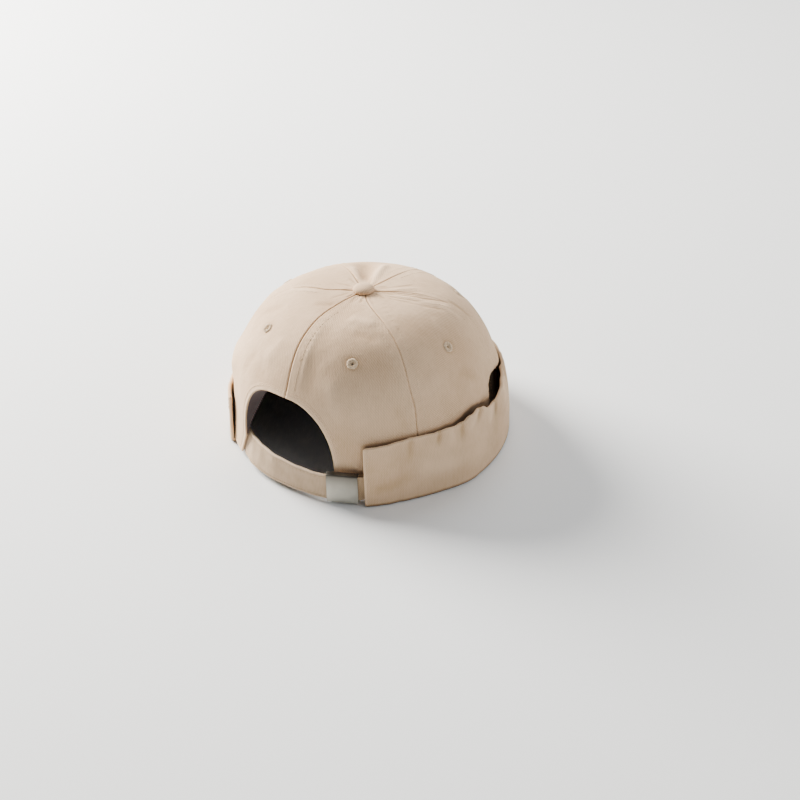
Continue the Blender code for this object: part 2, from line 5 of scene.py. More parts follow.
import bpy
import numpy as np
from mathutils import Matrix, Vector

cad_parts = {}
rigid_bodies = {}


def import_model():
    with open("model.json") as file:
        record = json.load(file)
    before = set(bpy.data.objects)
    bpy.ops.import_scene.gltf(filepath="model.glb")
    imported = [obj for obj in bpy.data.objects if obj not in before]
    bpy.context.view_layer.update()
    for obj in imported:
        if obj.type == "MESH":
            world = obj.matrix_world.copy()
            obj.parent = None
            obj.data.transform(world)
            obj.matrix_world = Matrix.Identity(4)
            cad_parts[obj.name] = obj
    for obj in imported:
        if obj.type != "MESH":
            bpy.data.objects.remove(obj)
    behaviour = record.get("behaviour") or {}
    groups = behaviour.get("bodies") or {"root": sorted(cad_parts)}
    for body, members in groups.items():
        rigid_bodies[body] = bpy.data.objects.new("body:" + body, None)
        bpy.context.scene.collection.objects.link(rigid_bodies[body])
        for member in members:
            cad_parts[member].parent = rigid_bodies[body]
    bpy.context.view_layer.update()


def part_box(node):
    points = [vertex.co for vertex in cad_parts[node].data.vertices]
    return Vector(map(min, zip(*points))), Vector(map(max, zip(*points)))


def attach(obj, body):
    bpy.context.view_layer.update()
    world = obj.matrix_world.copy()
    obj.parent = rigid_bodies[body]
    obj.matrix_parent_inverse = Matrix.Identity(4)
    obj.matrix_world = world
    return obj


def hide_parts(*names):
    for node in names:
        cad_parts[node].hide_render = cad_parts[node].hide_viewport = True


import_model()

# The crown: six panels of washed cotton twill, cut to points that meet under the button.
# Sewn, they make one soft dome, a little taller than a half ball and flattened on top.
# Its form repeats the solids' own: an outline round an upright axis, pressed in here and there.
CROWN_HALF_WIDTH = 0.0930
CROWN_HALF_LENGTH = 0.0950
CROWN_HEIGHT = 0.1048
CROWN_TOP_SHIFT = 0.0044
CROWN_SIDE_POWER = 3.49
CROWN_TOP_POWER = 2.43
FIRST_SEAM = 30.0
PANEL_ANGLE = 60.0
MM = 0.001

button_low, button_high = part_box("top_button")
AXIS_X = (button_low.x + button_high.x) / 2
AXIS_Y = (button_low.y + button_high.y) / 2 - CROWN_TOP_SHIFT

DENTS = (
    # angle, half angle, height, half height, depth
    (122.0, 15.0, 0.02, 0.16, 0.020),
    (204.0, 21.0, 0.30, 0.30, 0.036),
    (206.0, 9.0, 0.47, 0.10, 0.030),
    (128.0, 9.0, 0.38, 0.12, -0.010),
    (104.0, 8.0, 0.78, 0.16, 0.010),
    (40.0, 28.0, 0.18, 0.22, 0.026),
)

# The plain dome's outline from the rim up: shares of its radius and height, and of the way climbed.
turn = math.pi / 2 * (1 - (1 - np.linspace(0, 1, 800)) ** 2)
OUT = np.abs(np.cos(turn)) ** (2 / CROWN_SIDE_POWER)
OUT[-1] = 0.0
UP = np.sin(turn) ** (2 / CROWN_TOP_POWER)
steps = np.hypot(np.diff(OUT) * CROWN_HALF_WIDTH, np.diff(UP) * CROWN_HEIGHT)
CLIMB = np.concatenate(([0.0], np.cumsum(steps)))
CLIMB_LENGTH = CLIMB[-1]
CLIMB = CLIMB / CLIMB_LENGTH


def smooth(share):
    """Eases a share from 0 to 1."""
    share = np.clip(share, 0, 1)
    return share * share * (3 - 2 * share)


def bell(distance, width):
    """A smooth hump of height 1 that dies away over about this width."""
    return np.exp(-((distance / width) ** 2))


def turned(angle, middle):
    """Degrees from the middle to an angle, between -180 and 180."""
    return (angle - middle + 180) % 360 - 180


def plan_radius(angle):
    """The crown's radius at its widest, from above."""
    turn = np.radians(angle)
    return 1 / np.hypot(np.cos(turn) / CROWN_HALF_WIDTH, np.sin(turn) / CROWN_HALF_LENGTH)


def dent_depth(angle, up):
    """How far the cloth is pressed in."""
    depth = 0.0
    for middle, half_angle, height, half_height, share in DENTS:
        hump = bell(turned(angle, middle), half_angle) * bell(up - height, half_height)
        depth = depth + share * CROWN_HALF_WIDTH * hump
    return depth


def around(angle, radius, height):
    """Points at this angle, radius and height about the crown's leaning axis."""
    turn = np.radians(angle)
    side = AXIS_X + radius * np.cos(turn)
    back = AXIS_Y + radius * np.sin(turn) + CROWN_TOP_SHIFT * height / CROWN_HEIGHT
    return np.stack(np.broadcast_arrays(side, back, height), -1)


def crown_polar(angle, climb, lift=0.0):
    """Radius and height of the crown's face, lifted off it by this much. Climb is 0 at the rim, 1 on top."""
    out = np.interp(climb, CLIMB, OUT)
    up = np.interp(climb, CLIMB, UP)
    reach = plan_radius(angle)
    facing_out = CROWN_SIDE_POWER * out ** (CROWN_SIDE_POWER - 1) / reach
    facing_up = CROWN_TOP_POWER * up ** (CROWN_TOP_POWER - 1) / CROWN_HEIGHT
    length = np.hypot(facing_out, facing_up)
    inward = dent_depth(angle, up) - lift
    return reach * out - inward * facing_out / length, CROWN_HEIGHT * up - inward * facing_up / length


def climb_at_height(height):
    """Where the plain dome reaches this height."""
    return np.interp(height / CROWN_HEIGHT, UP, CLIMB)


def climb_at_radius(radius):
    """Where the plain dome has drawn in to this radius."""
    return np.interp(-radius / CROWN_HALF_WIDTH, -OUT, CLIMB)


def soft_noise(points, size, seed):
    """Smooth noise between -1 and 1 that changes over this size."""
    table = np.random.default_rng(seed).uniform(-1, 1, 4096)
    place = points / size
    cell = np.floor(place).astype(np.int64)
    share = smooth(place - cell)
    total = 0.0
    for corner in itertools.product((0, 1), repeat=3):
        key = (cell[..., 0] + corner[0]) * 73856093
        key = key ^ (cell[..., 1] + corner[1]) * 19349663 ^ (cell[..., 2] + corner[2]) * 83492791
        weight = 1.0
        for axis in range(3):
            weight = weight * (share[..., axis] if corner[axis] else 1 - share[..., axis])
        total = total + weight * table[key & 4095]
    return total


def near_line(points, line):
    """Distance of each point to a line of points, and the share along the line that is nearest."""
    best = np.full(points.shape[:-1], 1e9)
    where = np.zeros(points.shape[:-1])
    for number in range(len(line) - 1):
        start, end = line[number], line[number + 1]
        span = end - start
        share = np.clip(((points - start) @ span) / (span @ span), 0, 1)
        apart = np.linalg.norm(points - start - share[..., None] * span, axis=-1)
        nearer = apart < best
        best = np.where(nearer, apart, best)
        where = np.where(nearer, (number + share) / (len(line) - 1), where)
    return best, where


# A seam joins the panels: their edges are turned in over a 19 mm tape and stitched down on both
# sides, which leaves a fine groove in a flat band, with small puckers where the thread pulls.
GROOVE_DEPTH = 0.80 * MM
GROOVE_WIDTH = 0.45 * MM
RIDGE_RISE = 0.30 * MM
RIDGE_AT = 1.15 * MM
RIDGE_WIDTH = 0.60 * MM
BAND_RISE = 0.16 * MM
BAND_EDGE = 9.2 * MM
BAND_EASE = 5.0 * MM
STITCH_ROW = 5.8 * MM
STITCH_SINK = 0.05 * MM
STITCH_LINE = 0.45 * MM
PUCKER_RISE = 0.20 * MM
PUCKER_LENGTH = 6.2 * MM
PUCKER_WIDTH = 2.4 * MM
DIMPLE_RISE = 0.07 * MM
DIMPLE_LENGTH = 2.9 * MM
DIMPLE_WIDTH = 1.3 * MM
BEAD_LENGTH = 2.1 * MM
ALLOWANCE_RISE = 0.55 * MM
# The seams' relief dies away between these radii, under the button.
SEAM_NONE_RADIUS = 4.0 * MM
SEAM_FULL_RADIUS = 14.0 * MM
# How clearly each seam shows, from the one at 30 degrees on.
SEAM_SHOWN = (
    # climb, share of the groove, share of the band and ridges, three times over
    ((0.50, 0.22, 0.08), (0.70, 0.35, 0.15), (0.78, 0.85, 0.30)),
    ((0.40, 1.10, 0.70), (0.60, 1.15, 0.48), (0.90, 1.15, 0.30)),
    ((0.68, 0.50, 0.25), (0.735, 0.05, 0.20), (0.79, 0.75, 0.30)),
    ((0.60, 0.08, 0.04), (0.74, 0.20, 0.08), (0.88, 0.80, 0.25)),
    ((0.56, 0.90, 0.90), (0.72, 0.15, 0.20), (0.86, 0.90, 0.30)),
    ((0.56, 0.90, 0.90), (0.72, 0.40, 0.30), (0.90, 0.90, 0.40)),
)
# The seam at the back is nearly flat on one side: its number, that side, and how much still shows there.
PLAINER_SIDE = {1: (-1, 0.15)}

# The seams stray from straight lines, most where they meet under the button.
SEAM_WANDER = {
    # seam: climbs, and the angle that it strays by at each
    30.0: ((0.38, 0.50, 0.60, 0.69, 0.777, 0.875, 0.95), (0.0, -2.0, -4.5, -6.5, -6.0, 3.0, 0.0)),
    90.0: ((0.10, 0.30, 0.41, 0.52, 0.61, 0.69, 0.77, 0.95), (0.0, 1.2, 2.2, 0.8, -1.2, -2.6, -4.8, -8.5)),
    150.0: ((0.1, 0.3, 0.39, 0.44, 0.62, 0.69, 0.78, 0.95), (0.0, -0.3, 0.4, -0.6, -0.6, -1.3, -3.6, -13.0)),
    210.0: ((0.40, 0.50, 0.63, 0.76, 0.86, 0.95), (0.0, 1.5, 3.0, 4.5, 6.0, 3.0)),
    270.0: ((0.45, 0.60, 0.732, 0.94), (0.0, -1.0, -3.0, -8.0)),
    330.0: ((0.30, 0.50, 0.65, 0.82, 0.90), (0.0, 1.0, -1.0, -4.5, -5.0)),
}
WANDER_SPREAD = 17.0

# Folds and wrinkles of the soft crown, each from one place to another across the face.
CROWN_FOLDS = (
    # angle, climb, angle, climb, half width and rise in millimetres
    (309.0, 0.66, 303.0, 0.95, 6.4, -2.6),
    (322.0, 0.74, 316.0, 0.93, 2.6, 0.9),
    (290.0, 0.70, 288.0, 0.93, 3.2, 1.3),
    (207.0, 0.94, 214.0, 0.70, 0.8, -0.32),
    (201.0, 0.93, 210.0, 0.73, 0.9, -0.34),
    (196.0, 0.92, 206.0, 0.73, 1.1, 0.32),
    (190.0, 0.91, 201.0, 0.75, 0.9, -0.28),
    (183.0, 0.90, 196.0, 0.74, 0.9, -0.26),
    (213.0, 0.93, 221.0, 0.76, 0.9, -0.28),
    (221.0, 0.91, 229.0, 0.76, 1.1, 0.26),
    (229.0, 0.90, 236.0, 0.78, 0.9, -0.26),
    (206.0, 0.79, 216.0, 0.64, 1.1, -0.36),
    (200.0, 0.78, 211.0, 0.63, 1.2, 0.34),
    (193.0, 0.77, 204.0, 0.65, 1.1, -0.30),
    (217.0, 0.68, 213.0, 0.54, 1.9, -0.42),
    (206.0, 0.70, 203.0, 0.58, 2.4, 0.40),
    (190.0, 0.69, 180.0, 0.62, 3.2, 0.35),
    (112.0, 0.80, 143.0, 0.74, 4.5, 0.75),
    (120.0, 0.71, 140.0, 0.66, 3.5, -0.45),
    (95.5, 0.74, 98.5, 0.42, 1.6, 0.25),
    (101.0, 0.62, 103.0, 0.40, 4.6, -0.45),
    (112.0, 0.52, 118.0, 0.34, 5.0, 0.55),
    (84.0, 0.86, 62.0, 0.78, 2.6, -0.45),
    (40.0, 0.84, 22.0, 0.66, 2.2, 0.55),
    (52.0, 0.70, 40.0, 0.56, 4.5, -0.60),
    (78.0, 0.62, 74.0, 0.46, 4.5, 0.50),
    (66.0, 0.50, 60.0, 0.36, 4.0, -0.50),
    (140.0, 0.42, 146.0, 0.28, 3.4, -0.45),
    (160.0, 0.50, 172.0, 0.34, 4.6, 0.55),
    (176.0, 0.46, 190.0, 0.36, 3.6, -0.55),
    (24.0, 0.34, 50.0, 0.31, 9.0, 2.4),
    (164.0, 0.24, 196.0, 0.255, 4.2, -2.6),
    (187.0, 0.14, 192.0, 0.27, 3.2, 1.6),
    (232.0, 0.62, 250.0, 0.50, 4.2, -0.60),
    (258.0, 0.56, 262.0, 0.40, 4.6, 0.60),
    (284.0, 0.64, 296.0, 0.48, 4.8, -0.70),
    (318.0, 0.56, 322.0, 0.40, 4.2, 0.60),
    (346.0, 0.66, 354.0, 0.48, 4.4, -0.60),
    (8.0, 0.58, 14.0, 0.40, 4.4, 0.55),
)
BUTTON_WRINKLES = 19
WRINKLE_START = 7.0 * MM
WRINKLE_ENDS = (13, 24)
FOLD_BOW = 0.005
FOLD_FADE = 0.3
# A fold wider than this shades the cloth less than it lifts it.
FOLD_SHADED = 1.3 * MM
CROWN_UNEVEN = (
    # rise, size and seed of the cloth's own unevenness
    (0.42 * MM, 34 * MM, 3),
    (0.16 * MM, 12 * MM, 5),
)

# Near the band's lip on the wearer's right the cloth rolls over sharply and falls away into a hollow.
HOLLOW_EDGE = (
    # angle, climb of the hollow's upper edge
    (193.0, 0.23),
    (196.0, 0.27),
    (197.5, 0.305),
    (201.0, 0.327),
    (208.0, 0.320),
    (217.0, 0.300),
    (232.0, 0.285),
)
HOLLOW_LEFT = 195.5
HOLLOW_RIGHT = 236.0
HOLLOW_RIGHT_EASE = 12.0
HOLLOW_DEPTH = 4.6 * MM
HOLLOW_SLOPE = 3.0 * MM
ROLL_RISE = 2.6 * MM
ROLL_WIDTH = 6.5 * MM
ROLL_ABOVE = 1.0 * MM
ROLL_MIDDLE = 211.0
ROLL_SPREAD = 15.0


def seam_wander(angle, climb):
    """How many degrees the cloth near a seam strays sideways."""
    total = 0.0
    for seam, (climbs, strays) in SEAM_WANDER.items():
        stray = sum(np.interp(climb + step, climbs, strays) for step in (-0.03, -0.01, 0.01, 0.03)) / 4
        total = total + stray * bell(turned(angle, seam), WANDER_SPREAD)
    return total


def seam_shown(number, climb, side):
    """How clearly a seam's groove shows, and its band and stitches on the side with this sign."""
    climbs, grooves, raises = zip(*SEAM_SHOWN[number])
    raised = np.interp(climb, climbs, raises)
    if number in PLAINER_SIDE:
        plainer, share = PLAINER_SIDE[number]
        raised = raised * (1 - (1 - share) * smooth(plainer * side))
    return np.interp(climb, climbs, grooves), raised


def seam_relief(angle, climb, inside=False):
    """Rise of the cloth near the six seams. Inside, only the seam's allowance shows."""
    radius = plan_radius(angle) * np.interp(climb, CLIMB, OUT)
    along = climb * CLIMB_LENGTH
    fade = smooth((radius - SEAM_NONE_RADIUS) / (SEAM_FULL_RADIUS - SEAM_NONE_RADIUS))
    relief = np.zeros(np.broadcast(angle, climb).shape)
    for number in range(6):
        off = np.radians(turned(angle, FIRST_SEAM + PANEL_ANGLE * number))
        apart = np.abs(radius * off)
        band = smooth((BAND_EDGE - apart) / BAND_EASE)
        if inside:
            relief = relief - ALLOWANCE_RISE * band * fade
            continue
        groove, raised = seam_shown(number, climb, radius * off / MM)
        # Odd lengths and shifts keep the puckers from repeating along a seam or from side to side.
        beat = along / PUCKER_LENGTH + 0.6 * np.sin(along / (9.5 * MM) + 2.1 * number) + 0.37 * np.sign(off)
        strength = 0.55 + 0.45 * np.sin(along / (13 * MM) + 4.3 * number + np.sign(off))
        pucker = np.sin(2 * math.pi * beat) * bell(apart - STITCH_ROW, PUCKER_WIDTH) * strength
        dimple = np.sin(2 * math.pi * (along / DIMPLE_LENGTH + 0.2 * number))
        dimple = dimple * bell(apart - STITCH_ROW, DIMPLE_WIDTH)
        uneven = 1 + 0.8 * np.sin(along / (4.1 * MM) + 1.7 * number)
        beads = 0.8 + 0.2 * np.sin(2 * math.pi * along / BEAD_LENGTH + np.sign(off))
        relief = relief + raised * fade * (
            BAND_RISE * band
            + PUCKER_RISE * pucker
            + DIMPLE_RISE * dimple * uneven
            - STITCH_SINK * bell(apart - STITCH_ROW, STITCH_LINE)
            + RIDGE_RISE * bell(apart - RIDGE_AT, RIDGE_WIDTH) * beads
        )
        relief = relief - GROOVE_DEPTH * groove * bell(apart, GROOVE_WIDTH) * smooth(radius / (6 * MM))
    return relief


fold_lines = []
for start_angle, start_climb, end_angle, end_climb, half_width, rise in CROWN_FOLDS:
    share = np.linspace(0, 1, 7)
    bow = FOLD_BOW * np.sin(math.pi * share)
    angles = start_angle + (end_angle - start_angle) * share
    line = around(angles, *crown_polar(angles, start_climb + (end_climb - start_climb) * share + bow))
    fold_lines.append((line, half_width * MM, rise * MM))
wrinkles = np.random.default_rng(7)
for number in range(BUTTON_WRINKLES):
    angle = 360 * number / BUTTON_WRINKLES + wrinkles.uniform(-6, 6)
    reach = wrinkles.uniform(*WRINKLE_ENDS) * MM
    bend = wrinkles.uniform(-9, 9)
    radii = np.linspace(WRINKLE_START, reach, 5)
    angles = angle + bend * np.linspace(0, 1, 5)
    line = around(angles, *crown_polar(angles, climb_at_radius(radii)))
    fold_lines.append((line, wrinkles.uniform(0.7, 1.2) * MM, wrinkles.uniform(-0.34, -0.18) * MM))


def fold_relief(points):
    """Rise of the cloth at its folds and wrinkles, which die away at both ends, and how much of it shades."""
    relief = np.zeros(points.shape[:-1])
    shading = np.zeros(points.shape[:-1])
    for line, half_width, rise in fold_lines:
        reach = 3 * half_width
        close = (points > line.min(0) - reach).all(-1) & (points < line.max(0) + reach).all(-1)
        if not close.any():
            continue
        apart, where = near_line(points[close], line)
        ends = smooth(where / FOLD_FADE) * smooth((1 - where) / FOLD_FADE)
        fold = rise * bell(apart, half_width) * ends
        relief[close] += fold
        shading[close] += fold * min(1.0, FOLD_SHADED / half_width)
    return relief, shading


def hollow_relief(angle, climb):
    """Rise of the rolled cloth above the hollow, and its fall inside it."""
    angle = angle % 360
    edges, climbs = zip(*HOLLOW_EDGE)
    above = (climb - np.interp(angle, edges, climbs)) * CLIMB_LENGTH
    beside = (HOLLOW_LEFT - angle) * np.radians(1) * CROWN_HALF_WIDTH
    fall = smooth(-np.maximum(above, beside) / HOLLOW_SLOPE)
    fall = fall * smooth((HOLLOW_RIGHT - angle) / HOLLOW_RIGHT_EASE)
    roll = bell(above - ROLL_ABOVE, ROLL_WIDTH) * bell(angle - ROLL_MIDDLE, ROLL_SPREAD)
    return ROLL_RISE * roll * (1 - fall) - HOLLOW_DEPTH * fall


def crown_face(angle, climb, lift=0.0, inside=False):
    """Points on the visible face of the crown's cloth, and the rise that its colour is painted from: the
    seams' relief, the folds' painted shade and half its unevenness.
    """
    angle, climb = np.broadcast_arrays(np.asarray(angle, float), np.asarray(climb, float))
    strayed = angle + seam_wander(angle, climb)
    plain = around(strayed, *crown_polar(strayed, climb))
    seams = seam_relief(angle, climb, inside)
    folds, shading = fold_relief(plain)
    uneven = sum(rise * soft_noise(plain, size, seed) for rise, size, seed in CROWN_UNEVEN)
    relief = seams + folds + uneven + hollow_relief(strayed, climb)
    return around(strayed, *crown_polar(strayed, climb, lift + relief)), seams + shading + 0.5 * uneven


def unit(rows):
    """Directions scaled to length 1."""
    return rows / np.linalg.norm(rows, axis=-1, keepdims=True)


def face_out(angle, climb, step=0.6, rise=0.004):
    """Which way the crown's face looks, from places a little to each side, above and below."""
    up = crown_face(angle, climb + rise)[0] - crown_face(angle, climb - rise)[0]
    across = crown_face(angle + step, climb)[0] - crown_face(angle - step, climb)[0]
    return unit(np.cross(across, up))


# Cotton twill: a diagonal weave, piece dyed and washed soft. It has no gloss, and a pale bloom where
# it turns away from the eye. Raised edges are painted a little lighter, as rubbed wear and painted highlight,
# and grooves and shaded places darker, as painted shade.
# A real wale is about 0.5 mm wide, and is drawn 1.2 mm wide here, as fine as the render can show.
TWILL_WALE = 1.2 * MM
TWILL_YARN = 1.0 * MM
TWILL_SLUB = 5.0 * MM
WASH_PATCH = 26.0 * MM
CREASE_PATCH = 7.0 * MM
CREASE_DEPTH = 0.80 * MM
THREAD_DEPTH = 0.22 * MM
WEAVE_TONE = 0.56
SLUB_TONE = 0.40
WASH_TONE = 0.62
CROWN_LIGHT = "#E9CAA8"
CROWN_DARK = "#C09E7A"
CREASE_SHADE = "#54422F"
SHEEN_TINT = "#F3E6D4"
# The wave pattern's own length at a scale of 1.
WAVE_LENGTH = 2 * math.pi / 20


def linear(colour):
    """An sRGB hex colour as linear red, green, blue and alpha."""
    parts = [int(colour[place : place + 2], 16) / 255 for place in (1, 3, 5)]
    return (*[part / 12.92 if part <= 0.04045 else ((part + 0.055) / 1.055) ** 2.4 for part in parts], 1.0)


def fill(node, values):
    """Gives a node's inputs values, or links them to other nodes' outputs."""
    for name, value in values.items():
        if isinstance(value, bpy.types.NodeSocket):
            node.id_data.links.new(value, node.inputs[name])
        else:
            node.inputs[name].default_value = value


def add_node(tree, kind, values, output, **settings):
    """Adds a shader node with its settings, fills its inputs, and gives back one of its outputs."""
    made = tree.nodes.new(kind)
    for name, value in settings.items():
        setattr(made, name, value)
    fill(made, values)
    return made.outputs[output]


def new_material(name):
    """A new material, its tree of nodes and its main shader."""
    material = bpy.data.materials.new(name)
    material.use_nodes = True
    return material, material.node_tree, material.node_tree.nodes["Principled BSDF"]


def striped(tree, place, width, waver, finer):
    """Soft stripes of this width that waver a little."""
    values = {"Vector": place, "Scale": WAVE_LENGTH / width, "Distortion": waver, "Detail": 1.0}
    values["Detail Scale"] = finer
    return add_node(tree, "ShaderNodeTexWave", values, "Fac", bands_direction="X")


def cloudy(tree, place, size, detail, roughness=0.5):
    """Cloudy patches of about this size, from 0 to 1."""
    values = {"Vector": place, "Scale": 1 / size, "Detail": detail, "Roughness": roughness}
    return add_node(tree, "ShaderNodeTexNoise", values, "Fac")


def mapped(tree, value, start, end, low, high):
    """A value between start and end turned to one between low and high."""
    return add_node(tree, "ShaderNodeMapRange", {0: value, 1: start, 2: end, 3: low, 4: high}, 0)


def blended(tree, share, first, second):
    """The first colour, turning to the second with this share."""
    return add_node(tree, "ShaderNodeMix", {0: share, 6: first, 7: second}, 2, data_type="RGBA")


def averaged(tree, share, first, second):
    """The first value, turning to the second with this share."""
    return add_node(tree, "ShaderNodeMix", {0: share, 2: first, 3: second}, 0, data_type="FLOAT")


def cotton_twill(name, light, dark, wale=TWILL_WALE, lean=math.radians(-38)):
    """A cotton twill whose threads follow the piece's cloth map, which is in metres."""
    material, tree, shader = new_material(name)
    cloth = add_node(tree, "ShaderNodeUVMap", {}, "UV", uv_map="cloth")
    place = add_node(tree, "ShaderNodeTexCoord", {}, "Object")
    wear_and_painted_light = add_node(tree, "ShaderNodeAttribute", {}, "Fac", attribute_name="rise")
    # Slanting wales crossed by yarns.
    slanted = add_node(tree, "ShaderNodeMapping", {"Vector": cloth, "Rotation": (0, 0, lean)}, 0)
    wales = striped(tree, slanted, wale, 1.1, 0.35)
    yarns = striped(tree, cloth, TWILL_YARN, 0.8, 0.40)
    weave = averaged(tree, 0.48, wales, yarns)
    # Weave, thick yarns and wash marks make the tone, which is painted lighter where the cloth stands up, as
    # rubbed wear and painted highlight, and darker where it sinks, as painted shade.
    drawn_out = add_node(tree, "ShaderNodeMapping", {"Vector": cloth, "Scale": (4.0, 1.0, 1.0)}, 0)
    slubs = cloudy(tree, drawn_out, TWILL_SLUB, 2.0)
    wash = cloudy(tree, place, WASH_PATCH, 4.0, 0.62)
    tone = mapped(tree, wear_and_painted_light, -0.5, 0.6, -0.78, 0.34)
    for part, weight in ((weave, WEAVE_TONE), (slubs, SLUB_TONE), (wash, WASH_TONE)):
        tone = add_node(tree, "ShaderNodeMath", {0: part, 1: weight, 2: tone}, 0, operation="MULTIPLY_ADD")
    colour = blended(tree, tone, linear(dark), linear(light))
    # Painted shade: deep creases and shaded places are painted brown.
    sunk = mapped(tree, wear_and_painted_light, -0.35, -1.6, 0.0, 0.85)
    colour = blended(tree, sunk, colour, linear(CREASE_SHADE))
    # Small soft creases, and the raised threads on them.
    creases = cloudy(tree, place, CREASE_PATCH, 3.0)
    bump = {"Strength": 0.55, "Distance": CREASE_DEPTH, "Height": creases}
    soft = add_node(tree, "ShaderNodeBump", bump, "Normal")
    bump = {"Strength": 0.6, "Distance": THREAD_DEPTH, "Height": weave, "Normal": soft}
    fill(
        shader,
        {
            "Base Color": colour,
            "Normal": add_node(tree, "ShaderNodeBump", bump, "Normal"),
            "Roughness": 0.88,
            "IOR": 1.47,
            "Specular IOR Level": 0.30,
            "Sheen Weight": 0.16,
            "Sheen Roughness": 0.45,
            "Sheen Tint": linear(SHEEN_TINT),
        },
    )
    return material


crown_twill = cotton_twill("washed_cotton_twill", CROWN_LIGHT, CROWN_DARK)
# Painted shade: the crown's inside is the same twill painted nearly black to a dim brown, for its look in the
# shade inside the crown.
crown_inside_painted_shade = cotton_twill("crown_inside_painted_shade_twill", "#3C291D", "#261910")


def add_piece(name, points, faces, material, cloth, rise=None, crease=40.0):
    """A smooth-shaded mesh that rides on the cap's body, with its cloth map and its rise, from which the
    twill paints light and shade into its colour.
    """
    mesh = bpy.data.meshes.new(name)
    mesh.from_pydata(np.asarray(points).tolist(), [], [list(face) for face in faces])
    mesh.validate()
    corners = np.zeros(len(mesh.loops), np.int32)
    mesh.loops.foreach_get("vertex_index", corners)
    layer = mesh.uv_layers.new(name="cloth")
    layer.data.foreach_set("uv", np.asarray(cloth, np.float32)[corners].ravel())
    if rise is not None:
        layer = mesh.attributes.new("rise", "FLOAT", "POINT")
        layer.data.foreach_set("value", np.asarray(rise, np.float32) / MM)
    # The faces look outwards when the volume they hold is more than nothing.
    mesh.calc_loop_triangles()
    place = np.array([vertex.co for vertex in mesh.vertices])
    first, second, third = np.array([triangle.vertices for triangle in mesh.loop_triangles]).T
    if np.einsum("ij,ij->i", place[first], np.cross(place[second], place[third])).sum() < 0:
        mesh.flip_normals()
    mesh.shade_smooth()
    mesh.set_sharp_from_angle(angle=math.radians(crease))
    mesh.materials.append(material)
    piece = bpy.data.objects.new(name, mesh)
    bpy.context.scene.collection.objects.link(piece)
    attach(piece, "root")
    return piece


def cloth_sheet(outer, inner, cloth, rise, keep):
    """Points and faces of a cloth between two grids of points, closed along every edge of the kept cells."""
    rows, columns = outer.shape[:2]
    size = rows * columns
    index = np.arange(size).reshape(rows, columns)
    cells = np.stack((index[:-1, :-1], index[:-1, 1:], index[1:, 1:], index[1:, :-1]), -1)[keep]
    edges = np.concatenate([cells[:, [side, (side + 1) % 4]] for side in range(4)])
    _, first, count = np.unique(np.sort(edges, 1), axis=0, return_index=True, return_counts=True)
    rim = edges[first[count == 1]]
    walls = np.stack((rim[:, 1], rim[:, 0], rim[:, 0] + size, rim[:, 1] + size), -1)
    faces = np.concatenate((cells, cells[:, ::-1] + size, walls))
    points = np.concatenate((outer.reshape(-1, 3), inner.reshape(-1, 3)))
    cloth = np.concatenate((cloth.reshape(-1, 2), cloth.reshape(-1, 2)))
    rise = np.concatenate((rise.reshape(-1), rise.reshape(-1) * 0))
    used, faces = np.unique(faces, return_inverse=True)
    return points[used], faces.reshape(-1, 4), cloth[used], rise[used]


# Each panel is one layer of twill, cut along the grain up its middle. The two at the back are cut
# out for the arch, and the rim of all six is held between the cuff's fold and its seam.
CROWN_CLOTH = 1.2 * MM
RIM_HEIGHT = 2.7 * MM
PANEL_TOP_RADIUS = 2.2 * MM
SEAM_GAP = 0.015 * MM
PANEL_ROWS = 128
EYELET_CUT = 2.0 * MM
EYELET_SINK = 0.45 * MM
EYELET_DIP = 5.0 * MM
EYELET_PLACES = {
    # panel: angle and height of its eyelet
    "panel_rear_left": (59.5, 0.0904),
    "panel_rear_right": (122.5, 0.0892),
    "panel_side_right": (179.5, 0.0872),
    "panel_front_right": (240.0, 0.0892),
    "panel_front_left": (300.0, 0.0892),
    "panel_side_left": (0.0, 0.0892),
}
ARCH_HALF_WIDTH = 0.0370
ARCH_CENTRE = -0.0034
ARCH_TOP = 0.0642
ARCH_SPRING = 0.0210
ARCH_LEFT_POWER = 3.3
ARCH_RIGHT_POWER = 2.1
ARCH_LEFT_SPREAD = 0.0100

BACK = 90.0
FOOT_STEPS = 24

# Fine columns follow each seam, and wider ones the open cloth between.
fine, wide = [0.5] * 20, [1.6] * 48
column_steps = np.array(fine + wide + fine)
COLUMNS = np.concatenate(([0.0], np.cumsum(column_steps))) / column_steps.sum()

rim_climb = climb_at_height(RIM_HEIGHT)
top_climb = climb_at_radius(PANEL_TOP_RADIUS)


def place_at_back(side, level):
    """Angle and climb of the places on the crown's back with these sideways and upright distances."""
    angle = np.full(len(side), BACK)
    climb = climb_at_height(level)
    for _ in range(40):
        strayed = angle + seam_wander(angle, climb)
        radius, height = crown_polar(strayed, climb)
        turn = np.radians(strayed)
        angle = angle + np.degrees((radius * np.cos(turn) - side) / (radius * np.sin(turn)))
        climb = climb + (level - height) / CLIMB_LENGTH
    return angle, climb


turns = np.linspace(0, math.pi, 141)
powers = np.where(turns < math.pi / 2, ARCH_LEFT_POWER, ARCH_RIGHT_POWER)
arch_side = ARCH_CENTRE + ARCH_HALF_WIDTH * np.sign(np.cos(turns)) * np.abs(np.cos(turns)) ** (2 / powers)
arch_level = ARCH_SPRING + (ARCH_TOP - ARCH_SPRING) * np.abs(np.sin(turns)) ** (2 / powers)
foot_level = np.linspace(RIM_HEIGHT, ARCH_SPRING, FOOT_STEPS)[:-1]
left_foot = ARCH_CENTRE + ARCH_HALF_WIDTH + ARCH_LEFT_SPREAD * (1 - foot_level / ARCH_SPRING)
right_foot = np.full(len(foot_level), ARCH_CENTRE - ARCH_HALF_WIDTH)
arch_angle, arch_climb = place_at_back(
    np.concatenate((left_foot, arch_side, right_foot[::-1])),
    np.concatenate((foot_level, arch_level, foot_level[::-1])),
)
